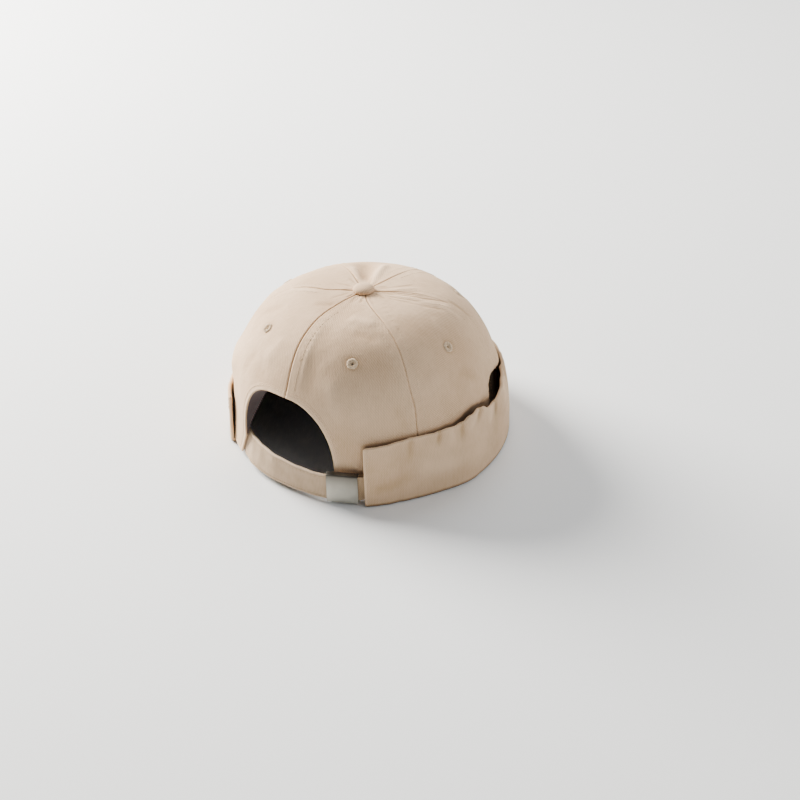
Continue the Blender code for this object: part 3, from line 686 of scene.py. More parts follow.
# The climb of the arch in the middle of the back, where the two panels meet.
over_feet = slice(FOOT_STEPS, -FOOT_STEPS)
arch_peak = np.interp(BACK, arch_angle[over_feet], arch_climb[over_feet])


def walked(line):
    """How far along a line of places each of them is."""
    return np.concatenate(([0.0], np.cumsum(np.linalg.norm(np.diff(line, axis=0), axis=1))))


def evenly(angle, climb, shares):
    """The places at these shares of the length of a line across the crown."""
    length = walked(around(angle, *crown_polar(angle, climb)))
    return np.interp(shares * length[-1], length, angle), np.interp(shares * length[-1], length, climb)


def panel_foot(seam):
    """The lower edge of the panel that starts at this seam: the rim, and for the two at the back the arch."""
    angle = np.linspace(seam, seam + PANEL_ANGLE, 60)
    climb = np.full(60, rim_climb)
    if seam == BACK - PANEL_ANGLE:
        left, before = arch_angle <= BACK, angle < arch_angle[0]
        angle = np.concatenate((angle[before], arch_angle[left], [BACK]))
        climb = np.concatenate((climb[before], arch_climb[left], [arch_peak]))
    elif seam == BACK:
        right, after = arch_angle >= BACK, angle > arch_angle[-1]
        angle = np.concatenate(([BACK], arch_angle[right], angle[after]))
        climb = np.concatenate(([arch_peak], arch_climb[right], climb[after]))
    return evenly(angle, climb, COLUMNS)


def crown_panel(name, seam):
    """One panel, from its lower edge up to the button."""
    foot_angle, foot_climb = panel_foot(seam)
    rows = np.linspace(0, 1, PANEL_ROWS + 1)[:, None]
    top_angle = seam + PANEL_ANGLE * COLUMNS
    angle = foot_angle * (1 - rows) + top_angle * rows
    climb = foot_climb * (1 - rows) + top_climb * rows
    radius = plan_radius(angle) * np.interp(climb, CLIMB, OUT)
    edge = np.degrees(SEAM_GAP / radius)
    angle = np.clip(angle, seam + edge, seam + PANEL_ANGLE - edge)
    outer, rise = crown_face(angle, climb)
    inner = crown_face(angle, climb, -CROWN_CLOTH, inside=True)[0]
    middle = seam + PANEL_ANGLE / 2
    cloth = np.stack((radius * np.radians(angle - middle), climb * CLIMB_LENGTH), -1)
    # Round the eyelet the cloth is pulled in, and the cells inside its hole are left out.
    eyelet_angle, eyelet_height = EYELET_PLACES[name]
    eyelet = crown_face(eyelet_angle, climb_at_height(eyelet_height))[0]
    from_eyelet = np.linalg.norm(outer - eyelet, axis=-1)
    sink = EYELET_SINK * np.exp(-((from_eyelet / EYELET_DIP) ** 4))
    outer = outer + (inner - outer) * (sink / CROWN_CLOTH)[..., None]
    # Painted shade: the dip round the eyelet is painted darker too.
    rise = rise - sink * 0.8
    keep = (from_eyelet[:-1, :-1] + from_eyelet[1:, 1:]) / 2 > EYELET_CUT
    points, faces, cloth, rise = cloth_sheet(outer, inner, cloth, rise, keep)
    piece = add_piece(name + "_cloth", points, faces, crown_twill, cloth, rise, crease=60.0)
    piece.data.materials.append(crown_inside_painted_shade)
    cells = int(keep.sum())
    for polygon in piece.data.polygons[cells : 2 * cells]:
        polygon.material_index = 1
    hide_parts(name)


PANEL_NAMES = (
    "panel_rear_left",
    "panel_rear_right",
    "panel_side_right",
    "panel_front_right",
    "panel_front_left",
    "panel_side_left",
)
for number, name in enumerate(PANEL_NAMES):
    crown_panel(name, FIRST_SEAM + PANEL_ANGLE * number)


# The hem of the arch: the cut edge is turned under twice and sewn down, so a narrow double band
# with a round edge runs from the rim's left end, over the arch and on along the rim to the right.
HEM_PROFILE = (
    # away from the edge into the cloth, and out from its face, in millimetres
    (4.9, -0.30),
    (4.6, -0.12),
    (4.1, -0.02),
    (3.5, 0.02),
    (3.1, 0.00),
    (2.7, 0.02),
    (1.8, 0.06),
    (0.9, 0.16),
    (0.25, 0.10),
    (-0.10, -0.12),
    (-0.22, -0.45),
    (-0.22, -0.80),
    (-0.05, -1.12),
    (0.4, -1.32),
    (2.4, -1.40),
    (4.4, -1.40),
    (4.8, -1.30),
    (4.9, -0.85),
)
HEM_SWELL = 0.12
HEM_SHADE = -0.2 * MM
HEM_WEAR_AND_HIGHLIGHT = 0.5 * MM
HEM_STEP = 1.0 * MM
HEM_STITCH = 3.2 * MM
HEM_LEFT_END = 50.0
HEM_RIGHT_END = 131.0

left_rim = np.linspace(HEM_LEFT_END, arch_angle[0], FOOT_STEPS)[:-1]
right_rim = np.linspace(arch_angle[-1], HEM_RIGHT_END, FOOT_STEPS)[1:]
rim = np.full(FOOT_STEPS - 1, rim_climb)
hem_angle = np.concatenate((left_rim, arch_angle, right_rim))
hem_climb = np.concatenate((rim, arch_climb, rim))
hem_length = 1.2 * CLIMB_LENGTH + 2 * ARCH_HALF_WIDTH
hem_angle, hem_climb = evenly(hem_angle, hem_climb, np.linspace(0, 1, int(hem_length / HEM_STEP)))


def rounded(values, times=6):
    """A run of values with its corners eased, and its two ends kept."""
    for _ in range(times):
        values[1:-1] = (values[:-2] + 2 * values[1:-1] + values[2:]) / 4
    return values


hem_angle, hem_climb = rounded(hem_angle), rounded(hem_climb)


def loft(loops, ring=False):
    """Points and faces through closed loops of as many points each. The ends are closed, or meet."""
    count, size = loops.shape[:2]
    index = np.arange(count * size).reshape(count, size)
    here = index if ring else index[:-1]
    there = np.roll(index, -1, axis=0) if ring else index[1:]
    faces = np.stack((here, np.roll(here, -1, axis=1), np.roll(there, -1, axis=1), there), -1).reshape(-1, 4)
    faces = faces.tolist()
    if not ring:
        faces += [index[0][::-1].tolist(), index[-1].tolist()]
    return loops.reshape(-1, 3), faces


def loft_cloth(loops):
    """The cloth map of a loft: how far along it and round it each point is."""
    along = walked(loops.mean(1))
    steps = np.linalg.norm(np.diff(loops, axis=1), axis=-1).mean(0)
    across = np.concatenate(([0.0], np.cumsum(steps)))
    return np.stack(np.broadcast_arrays(along[:, None], across[None, :]), -1).reshape(-1, 2)


# At each place along the hem: the way that the cloth faces, and the way into the cloth from its edge.
hem_place = crown_face(hem_angle, hem_climb)[0]
hem_facing = face_out(hem_angle, hem_climb)
hem_into = unit(np.cross(hem_facing, unit(np.gradient(hem_place, axis=0))))
profile = np.array(HEM_PROFILE) * MM
swell = 1 + HEM_SWELL * soft_noise(hem_place, 5 * MM, 11)[:, None]
hem_loops = (
    hem_place[:, None]
    + hem_into[:, None] * profile[None, :, :1]
    + hem_facing[:, None] * (profile[None, :, 1] * swell)[..., None]
)
points, faces = loft(hem_loops)
# The hem's colour: painted lighter on its rounded edge, as rubbed wear and painted highlight, and painted
# shade where it turns under.
rise = np.tile(np.clip(profile[:, 1] * 2.4 + 0.12 * MM, HEM_SHADE, HEM_WEAR_AND_HIGHLIGHT), len(hem_loops))
add_piece("arch_hem", points, faces, crown_twill, loft_cloth(hem_loops)[:, ::-1], rise, 60.0)


# The hem's facing: at the arch's upper left the turned edge isn't pressed flat, and stands inwards as a
# strip of the same twill, seen from its wrong side and painted dim grey as painted shade.
FACING_DEPTH = 10.0 * MM
FACING_CLOTH = 0.9 * MM
FACING_ROOT = 1.0 * MM
FACING_OVERLAP = 0.2 * MM
FACING_LEAN = 0.35 * MM
FACING_BULGE = 0.5 * MM
FACING_LOWEST = 16.0 * MM
FACING_FULL = 52.0 * MM
FACING_END = 86.0
FACING_END_EASE = 14.0
FACING_LEAST = 0.4 * MM

above_foot = smooth((hem_place[:, 2] - FACING_LOWEST) / (FACING_FULL - FACING_LOWEST))
facing_depth = FACING_DEPTH * above_foot * smooth((FACING_END - hem_angle) / FACING_END_EASE)
facing_loops = []
for number in np.flatnonzero((facing_depth > FACING_LEAST) & (hem_angle < BACK)):
    place, out, into = hem_place[number], hem_facing[number], hem_into[number]
    near = place - out * FACING_ROOT + into * 0.05 * MM
    far = place - out * (FACING_ROOT + FACING_OVERLAP + facing_depth[number]) + into * FACING_LEAN
    middle = (near + far) / 2 + into * FACING_BULGE
    back = into * FACING_CLOTH
    tip = far + back * 0.5 - out * 0.3 * MM
    facing_loops.append((near, middle, far, tip, far + back, middle + back, near + back))
facing_loops = np.array(facing_loops)
points, faces = loft(facing_loops)
# Painted shade: the twill's wrong side is painted a dim purple grey, for its look in shadow, against the
# painted black inside.
facing_twill_painted_shade = cotton_twill("hem_facing_painted_shade_twill", "#5D5050", "#453C3C")
cloth = loft_cloth(facing_loops)
add_piece("arch_hem_facing", points, faces, facing_twill_painted_shade, cloth, np.zeros(len(points)), 50.0)


# Topstitching: spun polyester thread, a shade lighter than the cloth, in stitches 2.8 mm long that
# sink at both ends. It holds the seams' turned edges down, the arch's hem and the strap's edges.
STITCH_PITCH = 2.8 * MM
THREAD_RADIUS = 0.17 * MM
THREAD_LIGHT = "#E4CDAE"
THREAD_DARK = "#CDB290"
STITCH_RINGS = (
    # place along half a stitch, lift and thickness as shares of the thread's radius
    (-0.88, -1.5, 0.50),
    (-0.72, -0.1, 0.90),
    (-0.30, 0.55, 1.0),
    (0.30, 0.55, 1.0),
    (0.72, -0.1, 0.90),
    (0.88, -1.5, 0.50),
)
STITCH_SIDES = 7
# A stitch rises with how clearly its seam shows, and is sunk out of sight where the seam doesn't show.
STITCH_LIFT = 0.34 * MM
STITCH_HIDDEN = 0.20 * MM
SEAM_STITCH_TOP = 30.0 * MM
ABOVE_ARCH = 0.035
HEM_THREAD_RADIUS = 0.16 * MM

# A shade lighter than the cloth, so that a row of stitches reads as a faint dotted line.
thread_cotton = cotton_twill("spun_thread", THREAD_LIGHT, THREAD_DARK, wale=0.5 * MM, lean=math.radians(35))


def stitch_row(place, facing, radius=THREAD_RADIUS):
    """Points, faces and cloth map of each stitch in a row along a line of places."""
    length = walked(place)
    count = max(int(length[-1] / STITCH_PITCH), 1)
    middle = (np.arange(count) + 0.5) * length[-1] / count

    def pick(at, row):
        return np.stack([np.interp(at, length, row[:, axis]) for axis in range(3)], -1)

    along = unit(pick(middle + STITCH_PITCH / 4, place) - pick(middle - STITCH_PITCH / 4, place))
    out = pick(middle, facing)
    side = unit(np.cross(out, along))
    rings = np.array(STITCH_RINGS) * (STITCH_PITCH / 2, radius, radius)
    turn = np.linspace(0, 2 * math.pi, STITCH_SIDES, endpoint=False)[:, None]
    cloth = np.stack(np.broadcast_arrays(rings[:, :1], turn.T * radius), -1).reshape(-1, 2)
    stitches = []
    for centre, ahead, outward, across in zip(pick(middle, place), along, out, side):
        centres = centre + ahead * rings[:, :1] + outward * rings[:, 1:2]
        rim = np.cos(turn) * across + np.sin(turn) * outward
        points, faces = loft(centres[:, None] + rim[None] * rings[:, 2, None, None])
        stitches.append((points, faces, cloth))
    return stitches


def joined(parts):
    """The points, faces and cloth maps of several parts as one."""
    points, faces, cloth = zip(*parts)
    starts = np.cumsum([0] + [len(part) for part in points]).tolist()
    faces = [[start + corner for corner in face] for start, part in zip(starts, faces) for face in part]
    return np.concatenate(points), faces, np.concatenate(cloth)


def add_stitches(name, stitches):
    """One piece made of all these stitches."""
    points, faces, cloth = joined(stitches)
    add_piece(name, points, faces, thread_cotton, cloth, np.zeros(len(points)))


seam_stitches = []
for number in range(6):
    seam = FIRST_SEAM + PANEL_ANGLE * number
    lowest = arch_climb.max() + ABOVE_ARCH if seam == BACK else rim_climb
    climb = np.linspace(lowest, climb_at_radius(SEAM_STITCH_TOP), 150)
    radius = plan_radius(seam) * np.interp(climb, CLIMB, OUT)
    for side in (-1, 1):
        angle = seam + side * np.degrees(STITCH_ROW / radius)
        lift = STITCH_LIFT * seam_shown(number, climb, side)[1] - STITCH_HIDDEN
        seam_stitches += stitch_row(crown_face(angle, climb, lift)[0], face_out(angle, climb))
add_stitches("seam_topstitching", seam_stitches)
hem_line = hem_place + hem_into * HEM_STITCH + hem_facing * 0.04 * MM
add_stitches("hem_topstitching", stitch_row(hem_line, hem_facing, HEM_THREAD_RADIUS))


# The eyelets: a small hole in each panel, worked over and over with thread, so the ring is a low
# dome of radial threads with a dark pinhole in its middle.
EYELET_RADIUS = 3.6 * MM
EYELET_HOLE_RADIUS = 0.62 * MM
EYELET_THREADS = 30
EYELET_PROFILE = (
    # share of the way from the hole's edge to the rim, and height in millimetres
    (0.00, -2.60),
    (0.00, -1.00),
    (0.03, -0.35),
    (0.12, -0.05),
    (0.26, 0.22),
    (0.40, 0.52),
    (0.54, 0.74),
    (0.68, 0.80),
    (0.82, 0.66),
    (0.93, 0.34),
    (1.00, -0.10),
    (0.98, -0.60),
    (0.70, -0.80),
    (0.70, -1.60),
    (0.98, -1.70),
    (0.90, -2.20),
    (0.60, -2.60),
)
EYELET_STAND = 0.20 * MM
EYELET_RIB = 0.10 * MM
# The palest thing on the cap: each eyelet reads as a small light ring with a dark middle.
sateen_thread = cotton_twill("embroidery_thread", "#F0DCC0", "#C9AE8C", wale=0.5 * MM, lean=0.0)

ring = np.array(EYELET_PROFILE)
reach = EYELET_HOLE_RADIUS + (EYELET_RADIUS - EYELET_HOLE_RADIUS) * ring[:, 0]
turns = np.linspace(0, 2 * math.pi, EYELET_THREADS * 4, endpoint=False)
rib = EYELET_RIB * np.cos(turns * EYELET_THREADS + 0.6 * np.sin(3 * turns))
lift = ring[None, :, 1] * MM + rib[:, None] * smooth(ring[None, :, 0] / 0.2) * (ring[None, :, 1] > 0)
cloth = np.stack(np.broadcast_arrays(turns[:, None] * EYELET_RADIUS, reach[None]), -1).reshape(-1, 2)
# The ribs are painted lighter on their crests and darker between them: painted highlight and painted shade.
rise = np.broadcast_to((rib * 4)[:, None], lift.shape).reshape(-1)
for number, name in enumerate(PANEL_NAMES):
    angle, height = EYELET_PLACES[name]
    climb = climb_at_height(height)
    out = face_out(angle, climb)
    seat = crown_face(angle, climb)[0] - out * (EYELET_SINK - EYELET_STAND)
    side = unit(np.cross((0, 0, 1), out))
    upward = np.cross(out, side)
    uneven = 1 + 0.04 * np.sin(turns * 5 + number) + 0.03 * np.sin(turns * 11 + 2 * number)
    radial = np.cos(turns)[:, None] * side + np.sin(turns)[:, None] * upward
    loops = seat + radial[:, None] * (reach[None] * uneven[:, None])[..., None] + out * lift[..., None]
    points, faces = loft(loops, ring=True)
    place = name.replace("panel_", "eyelet_")
    piece = add_piece(place + "_embroidery", points, faces, sateen_thread, cloth, rise)
    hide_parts(place)


# The top button: a tin shell covered with the crown's own twill, drawn tight underneath, so small
# pleats gather round its lower edge.
BUTTON_RADIUS = 7.1 * MM
BUTTON_RISE = 4.2 * MM
BUTTON_DOME_SHARE = 0.8
BUTTON_PINHOLE = 0.2 * MM
BUTTON_SHANK = 3.0 * MM
BUTTON_SIDES = 136
BUTTON_PLEATS = 17
PLEAT_DEPTH = 0.16 * MM
PLEAT_HEIGHT = 0.9 * MM
BUTTON_UNDER = (
    # below the dome's edge: shares of the button's radius and of the dome's height
    (1.005, -0.10),
    (0.985, -0.20),
    (0.93, -0.26),
    (0.70, -0.27),
    (0.38, -0.27),
)
BUTTON_SHADE = 1.5 * MM

button_base = button_high.z - BUTTON_RISE
button_centre = np.array([AXIS_X, AXIS_Y + CROWN_TOP_SHIFT])
shares = np.linspace(0.02, 1, 18)
dome = np.stack((np.sin(shares * math.pi / 2) ** 0.94, np.cos(shares * math.pi / 2) ** 0.92), -1)
outline = np.concatenate((dome, BUTTON_UNDER)) * (BUTTON_RADIUS, BUTTON_RISE * BUTTON_DOME_SHARE)
outline = outline + (0, button_base + BUTTON_RISE * (1 - BUTTON_DOME_SHARE))
outline = np.concatenate((outline, [(BUTTON_SHANK, button_low.z), (BUTTON_PINHOLE, button_low.z)]))
turns = np.linspace(0, 2 * math.pi, BUTTON_SIDES, endpoint=False)[:, None]
edge = bell(outline[:, 1] - button_base - 0.3 * MM, PLEAT_HEIGHT) * (outline[:, 0] > 0.8 * BUTTON_RADIUS)
pleat = PLEAT_DEPTH * np.cos(BUTTON_PLEATS * turns + 1.3 * np.sin(2 * turns)) * edge[None]
reach = outline[None, :, 0] + pleat
flat = np.stack((reach * np.cos(turns), reach * np.sin(turns)), -1)
level = np.broadcast_to(outline[None, :, 1:], (*reach.shape, 1))
points, faces = loft(np.concatenate((flat + button_centre, level), -1), ring=True)
# The twill lies slanted over the button.
cloth = flat.reshape(-1, 2) @ np.array([[0.8, 0.6], [-0.6, 0.8]])
# The outline isn't closed on itself: a small disc closes the button's top, and one its shank.
size = len(outline)
rings = np.arange(BUTTON_SIDES) * size
faces = [face for place, face in enumerate(faces) if place % size != size - 1]
faces += [rings.tolist(), (rings + size - 1)[::-1].tolist()]
# Painted shade: the cloth drawn under the dome's edge is painted dark, and the pleats lighter and darker by
# their rise.
painted_shade_under_button = BUTTON_SHADE * smooth((button_base + PLEAT_HEIGHT - outline[:, 1]) / (1.4 * MM))
rise = (pleat * 2 - painted_shade_under_button[None]).reshape(-1)
piece = add_piece("button_cover", points, faces, crown_twill, cloth, rise)
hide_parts("top_button")


# The cuff: a wide band of doubled twill sewn inside the rim and turned up outside the crown. Its
# lip is a soft fold that leans away from the crown, and the cap lies on the fold at its foot.
CUFF_HEIGHT = 0.0500
CUFF_CLOTH = 2.4 * MM
CUFF_EASE = 0.8 * MM
CUFF_STANDOFF = 5.0 * MM
CUFF_SEAM_HEIGHT = 6.0 * MM
CUFF_SEAM_CLOTH = 1.2 * MM
CUFF_SEAM_SET = 2.1 * MM
CUFF_RIGHT_END = 127.3
CUFF_LEFT_END = 413.0
CUFF_STEP = 0.6
CUFF_LIP = 0.9 * MM
CUFF_FOOT_RADIUS = 1.7 * MM
CUFF_END_ROUND = 1.0
CUFF_CORNER = 0.5 * MM
CUFF_UNEVEN = (
    # rise, size and seed of the band's own unevenness
    (0.40 * MM, 26 * MM, 21),
    (0.14 * MM, 9 * MM, 22),
)
LIP_UNEVEN = (0.35 * MM, 11 * MM, 31)
# How much the band's lip and ends are painted lighter, as rubbed wear and painted highlight, and its foot and
# the crown behind its lip painted darker, as painted shade.
LIP_WEAR_AND_HIGHLIGHT = 0.30 * MM
LIP_WEAR_AND_HIGHLIGHT_WIDTH = 1.2 * MM
END_WEAR_AND_HIGHLIGHT = 0.70 * MM
END_WEAR_AND_HIGHLIGHT_ANGLE = 0.7
FOOT_SHADE = 2.2 * MM
FOOT_SHADE_TOP = 3.0 * MM
CROWN_SHADE = 1.7
CROWN_SHADE_ABOVE = 0.6 * MM
CROWN_SHADE_FADE = 2.6 * MM
CROWN_SHADE_BEFORE = 1.6
# Laid flat, the band is this long for each radian, and its visible face this high.
BAND_RADIUS = 0.1
BAND_FACE = 0.95 * CUFF_HEIGHT
# Rows of points round the band's section.
INNER_ROWS = 22
OUTER_ROWS = 30
LIP_ROWS = 7

CUFF_SECTIONS = (
    # angle, gap at the foot, gap halfway, gap at the lip, height
    (127.3, 1.15, 1.08, 0.62, 0.868),
    (131.0, 0.95, 0.93, 0.55, 0.876),
    (135.0, 0.70, 0.80, 0.48, 0.885),
    (141.0, 0.30, 0.36, 0.26, 0.902),
    (147.5, 0.10, 0.20, 0.20, 0.915),
    (153.0, 0.06, 0.18, 0.25, 0.918),
    (158.0, 0.10, 0.20, 0.30, 0.915),
    (162.0, 0.20, 0.26, 0.34, 0.925),
    (166.0, 0.34, 0.36, 0.42, 0.907),
    (170.0, 0.46, 0.46, 0.52, 0.918),
    (174.0, 0.45, 0.48, 0.55, 0.965),
    (178.0, 0.30, 0.42, 0.60, 0.982),
    (182.5, 0.22, 0.40, 0.66, 0.955),
    (186.0, 0.20, 0.42, 0.60, 0.885),
    (190.0, 0.20, 0.45, 0.66, 0.868),
    (194.0, 0.20, 0.50, 0.80, 0.860),
    (200.0, 0.20, 0.58, 1.05, 0.900),
    (207.0, 0.20, 0.60, 1.15, 0.975),
    (216.0, 0.15, 0.36, 0.52, 0.995),
    (226.0, 0.15, 0.22, 0.22, 0.950),
    (236.0, 0.18, 0.20, 0.16, 0.900),
    (250.0, 0.20, 0.25, 0.20, 0.880),
    (270.0, 0.25, 0.30, 0.30, 0.94),
    (300.0, 0.25, 0.30, 0.30, 0.95),
    (330.0, 0.15, 0.20, 0.20, 0.90),
    (360.0, 0.10, 0.15, 0.10, 0.78),
    (390.0, 0.05, 0.10, 0.04, 0.67),
    (405.0, 0.05, 0.12, 0.15, 0.71),
    (413.0, 0.05, 0.25, 0.25, 0.72),
)

# Soft folds of the turned-up band. Shares are of its height, from the foot up to the lip.
CUFF_FOLDS = (
    # angle, share, angle, share, half width and rise in millimetres
    (146.0, 0.98, 144.5, 0.62, 2.2, -0.55),
    (158.5, 1.04, 156.5, 0.74, 2.0, -0.85),
    (163.0, 1.02, 163.5, 0.66, 2.6, 0.60),
    (169.0, 1.04, 168.0, 0.70, 2.2, -0.80),
    (176.0, 1.02, 171.0, 0.78, 2.4, 0.65),
    (181.0, 1.05, 176.0, 0.80, 1.8, -0.95),
    (187.0, 1.02, 185.0, 0.66, 3.0, 0.70),
    (193.0, 1.04, 191.0, 0.70, 2.4, -0.80),
    (203.0, 1.02, 205.0, 0.60, 3.6, 0.70),
    (214.0, 1.04, 218.0, 0.55, 3.0, -0.80),
    (133.0, 0.30, 150.0, 0.42, 5.0, -0.45),
    (152.0, 0.52, 170.0, 0.34, 6.0, 0.55),
    (232.0, 0.95, 238.0, 0.40, 4.5, -0.75),
    (248.0, 1.02, 252.0, 0.60, 4.5, 0.60),
    (262.0, 0.92, 268.0, 0.46, 5.0, -0.70),
    (280.0, 1.02, 283.0, 0.52, 5.0, 0.60),
    (296.0, 0.96, 300.0, 0.55, 4.0, -0.65),
    (312.0, 1.02, 318.0, 0.50, 4.6, 0.60),
    (330.0, 0.98, 334.0, 0.48, 4.0, -0.70),
    (346.0, 1.02, 350.0, 0.44, 4.4, 0.55),
    (364.0, 0.95, 366.0, 0.40, 4.0, -0.65),
    (382.0, 1.02, 386.0, 0.44, 4.2, 0.55),
    (398.0, 0.95, 400.0, 0.50, 3.0, -0.50),
)


def table_value(table, angle, column):
    """A column of a table at this angle, smoothly between its rows."""
    angles = [row[0] for row in table]
    values = [row[column] for row in table]
    below = min(max(int(np.searchsorted(angles, angle, side="right")) - 1, 0), len(angles) - 2)
    share = smooth((angle - angles[below]) / (angles[below + 1] - angles[below]))
    return values[below] + (values[below + 1] - values[below]) * share


def laid_flat(angle, share):
    """Places on the band laid out flat, at these angles and shares of its height."""
    return np.stack(np.broadcast_arrays(np.radians(angle) * BAND_RADIUS, share * BAND_FACE, 0.0), -1)


def cuff_relief(angle, share):
    """How far the band's cloth waves out at this angle, at shares of its height."""
    place = laid_flat(angle, share)
    relief = sum(rise * soft_noise(place, size, seed) for rise, size, seed in CUFF_UNEVEN)
    for start_angle, start_share, end_angle, end_share, half_width, rise in CUFF_FOLDS:
        line = laid_flat(np.array((start_angle, end_angle)), np.array((start_share, end_share)))
        apart, where = near_line(place, line)
        relief = relief + rise * MM * bell(apart, half_width * MM) * smooth((1 - where) / 0.6)
    return relief * smooth(share / 0.25)


def crown_radius(angle, height, inset=0.0):
    """The plain dome's radius at this height, drawn in by this much."""
    return crown_polar(angle, climb_at_height(height), -inset)[0]


def cuff_top(angle):
    """The height that the band reaches at this angle, before its lip's own waves."""
    return CUFF_HEIGHT * table_value(CUFF_SECTIONS, angle, 4)


def cuff_loop(angle, fullness):
    """The band's cloth at this angle. Fullness below 1 thins it towards its middle, for a rounded end."""
    foot_gap, middle_gap, lip_gap = (
        CUFF_EASE + CUFF_STANDOFF * table_value(CUFF_SECTIONS, angle, column) for column in (1, 2, 3)
    )
    thin = (1 - fullness) * CUFF_CLOTH / 2
    wave, wave_size, seed = LIP_UNEVEN
    height = cuff_top(angle) + wave * soft_noise(laid_flat(angle, 0.0), wave_size, seed) - thin - CUFF_LIP

    def wall(level):
        share = (level - CUFF_CLOTH) / (height - CUFF_CLOTH)
        straight = foot_gap + (lip_gap - foot_gap) * share
        bulge = (middle_gap - (foot_gap + lip_gap) / 2) * 4 * share * (1 - share)
        crown = crown_radius(angle, np.maximum(level, CUFF_CORNER))
        return crown + straight + bulge + cuff_relief(angle, share)

    # Up the inside, over the lip, down the face and round under the foot.
    inner_level = np.linspace(CUFF_CLOTH + thin, height, INNER_ROWS)
    outer_level = np.linspace(height, CUFF_FOOT_RADIUS + thin, OUTER_ROWS)
    inner = np.stack((wall(inner_level) + thin, inner_level), -1)
    outer = np.stack((wall(outer_level) + CUFF_CLOTH - thin, outer_level), -1)
    over = np.linspace(math.pi, 0, LIP_ROWS + 2)[1:-1]
    lip_middle = (inner[-1, 0] + outer[0, 0]) / 2
    lip_half = (outer[0, 0] - inner[-1, 0]) / 2
    lip = np.stack((lip_middle + lip_half * np.cos(over), height + CUFF_LIP * fullness * np.sin(over)), -1)
    under = np.linspace(0, math.pi / 2, 7)[1:]
    drawn_in = outer[-1, 0] - CUFF_FOOT_RADIUS * (1 - np.cos(under))
    foot = np.stack((drawn_in, thin + CUFF_FOOT_RADIUS * (1 - np.sin(under))), -1)
    # Flat along the floor, then up and round the seam allowance inside the crown's rim.
    seam_face = crown_radius(angle, CUFF_CLOTH, CUFF_SEAM_SET)
    seam_back = seam_face - CUFF_SEAM_CLOTH
    seam_top = CUFF_SEAM_HEIGHT - CUFF_CORNER
    rest = [
        (seam_back + 1.2 * MM, thin),
        (seam_back + 0.35 * MM, thin + 0.35 * MM),
        (seam_back + thin / 2, 1.2 * MM + thin),
        (seam_back + thin / 2, seam_top),
        (seam_back + CUFF_CORNER, CUFF_SEAM_HEIGHT - thin),
        (seam_face - CUFF_CORNER, CUFF_SEAM_HEIGHT - thin),
        (seam_face - thin / 2, seam_top),
        (seam_face - thin / 2, CUFF_CLOTH + CUFF_CORNER),
        (seam_face + 0.4 * MM, CUFF_CLOTH - thin),
    ]
    flat = np.stack((np.linspace(foot[-1, 0], rest[0][0], 6)[1:-1], np.full(4, thin)), -1)
    loop = np.concatenate((inner, lip, outer, foot, flat, rest))
    level = loop[:, 1]
    # The colour's rise: the band's waves, painted as light and shade, a painted highlight with rubbed wear
    # along the lip, and painted shade at the foot.
    rise = cuff_relief(angle, (level - CUFF_CLOTH) / (height - CUFF_CLOTH)) * 0.8
    rise = rise + LIP_WEAR_AND_HIGHLIGHT * bell(level - height - CUFF_LIP, LIP_WEAR_AND_HIGHLIGHT_WIDTH)
    rise = rise - FOOT_SHADE * smooth((FOOT_SHADE_TOP - level) / FOOT_SHADE_TOP)
    return around(angle, loop[:, 0], level), rise


def from_cuff_end(angle):
    """Degrees from the nearer end of the band."""
    return np.minimum(angle - CUFF_RIGHT_END, CUFF_LEFT_END - angle)


between_ends = round((CUFF_LEFT_END - CUFF_RIGHT_END) / CUFF_STEP) + 1
cuff_angles = np.linspace(CUFF_RIGHT_END, CUFF_LEFT_END, between_ends)[2:-2]
round_off = np.array([0.0, 0.06, 0.18, 0.38, 0.66]) * CUFF_END_ROUND
cuff_angles = np.concatenate((CUFF_RIGHT_END + round_off, cuff_angles, CUFF_LEFT_END - round_off[::-1]))
cuff_loops, cuff_rise = [], []
for angle in cuff_angles:
    from_end = min(from_cuff_end(angle) / CUFF_END_ROUND, 1.0)
    fullness = math.sqrt(1 - (1 - from_end) ** 2) * 0.85 + 0.15
    loop, rise = cuff_loop(angle, fullness)
    cuff_loops.append(loop)
    # A painted highlight with rubbed wear along each end of the band.
    cuff_rise.append(rise + END_WEAR_AND_HIGHLIGHT * bell(from_cuff_end(angle), END_WEAR_AND_HIGHLIGHT_ANGLE))
cuff_loops = np.array(cuff_loops)
rise = np.concatenate(cuff_rise)
points, faces = loft(cuff_loops)
# The same twill as the crown's, a little darker.
cuff_twill = cotton_twill("cuff_cotton_twill", "#E2C3A1", "#BC9B77")
piece = add_piece("cuff_band", points, faces, cuff_twill, loft_cloth(cuff_loops), rise, 50.0)
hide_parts("cuff")

# Down behind the lip the crown's face gets little light, and its cloth's colour is painted darker there:
# painted shade.
for name in PANEL_NAMES:
    mesh = bpy.data.objects[name + "_cloth"].data
    points = np.array([vertex.co for vertex in mesh.vertices]) - np.array((AXIS_X, AXIS_Y, 0.0))
    angle = np.degrees(np.arctan2(points[:, 1], points[:, 0])) % 360
    angle = np.where(angle < CUFF_LEFT_END - 360, angle + 360, angle)
    covered = smooth((angle - CUFF_RIGHT_END + CROWN_SHADE_BEFORE) / 2)
    lip = np.array([cuff_top(max(here, CUFF_RIGHT_END)) for here in angle])
    shade_behind_lip = smooth((lip + CROWN_SHADE_ABOVE - points[:, 2]) / CROWN_SHADE_FADE) * covered
    layer = mesh.attributes["rise"].data
    rise = np.zeros(len(points), np.float32)
    layer.foreach_get("value", rise)
    layer.foreach_set("value", rise - np.float32(CROWN_SHADE) * shade_behind_lip.astype(np.float32))


# The tacks: a short row of the same thread at each free top corner of the band, which holds its
# turned edges together.
TACK_IN = 1.5
TACK_STEP = 0.6
TACK_ROWS = 9
FACE_START = INNER_ROWS + LIP_ROWS

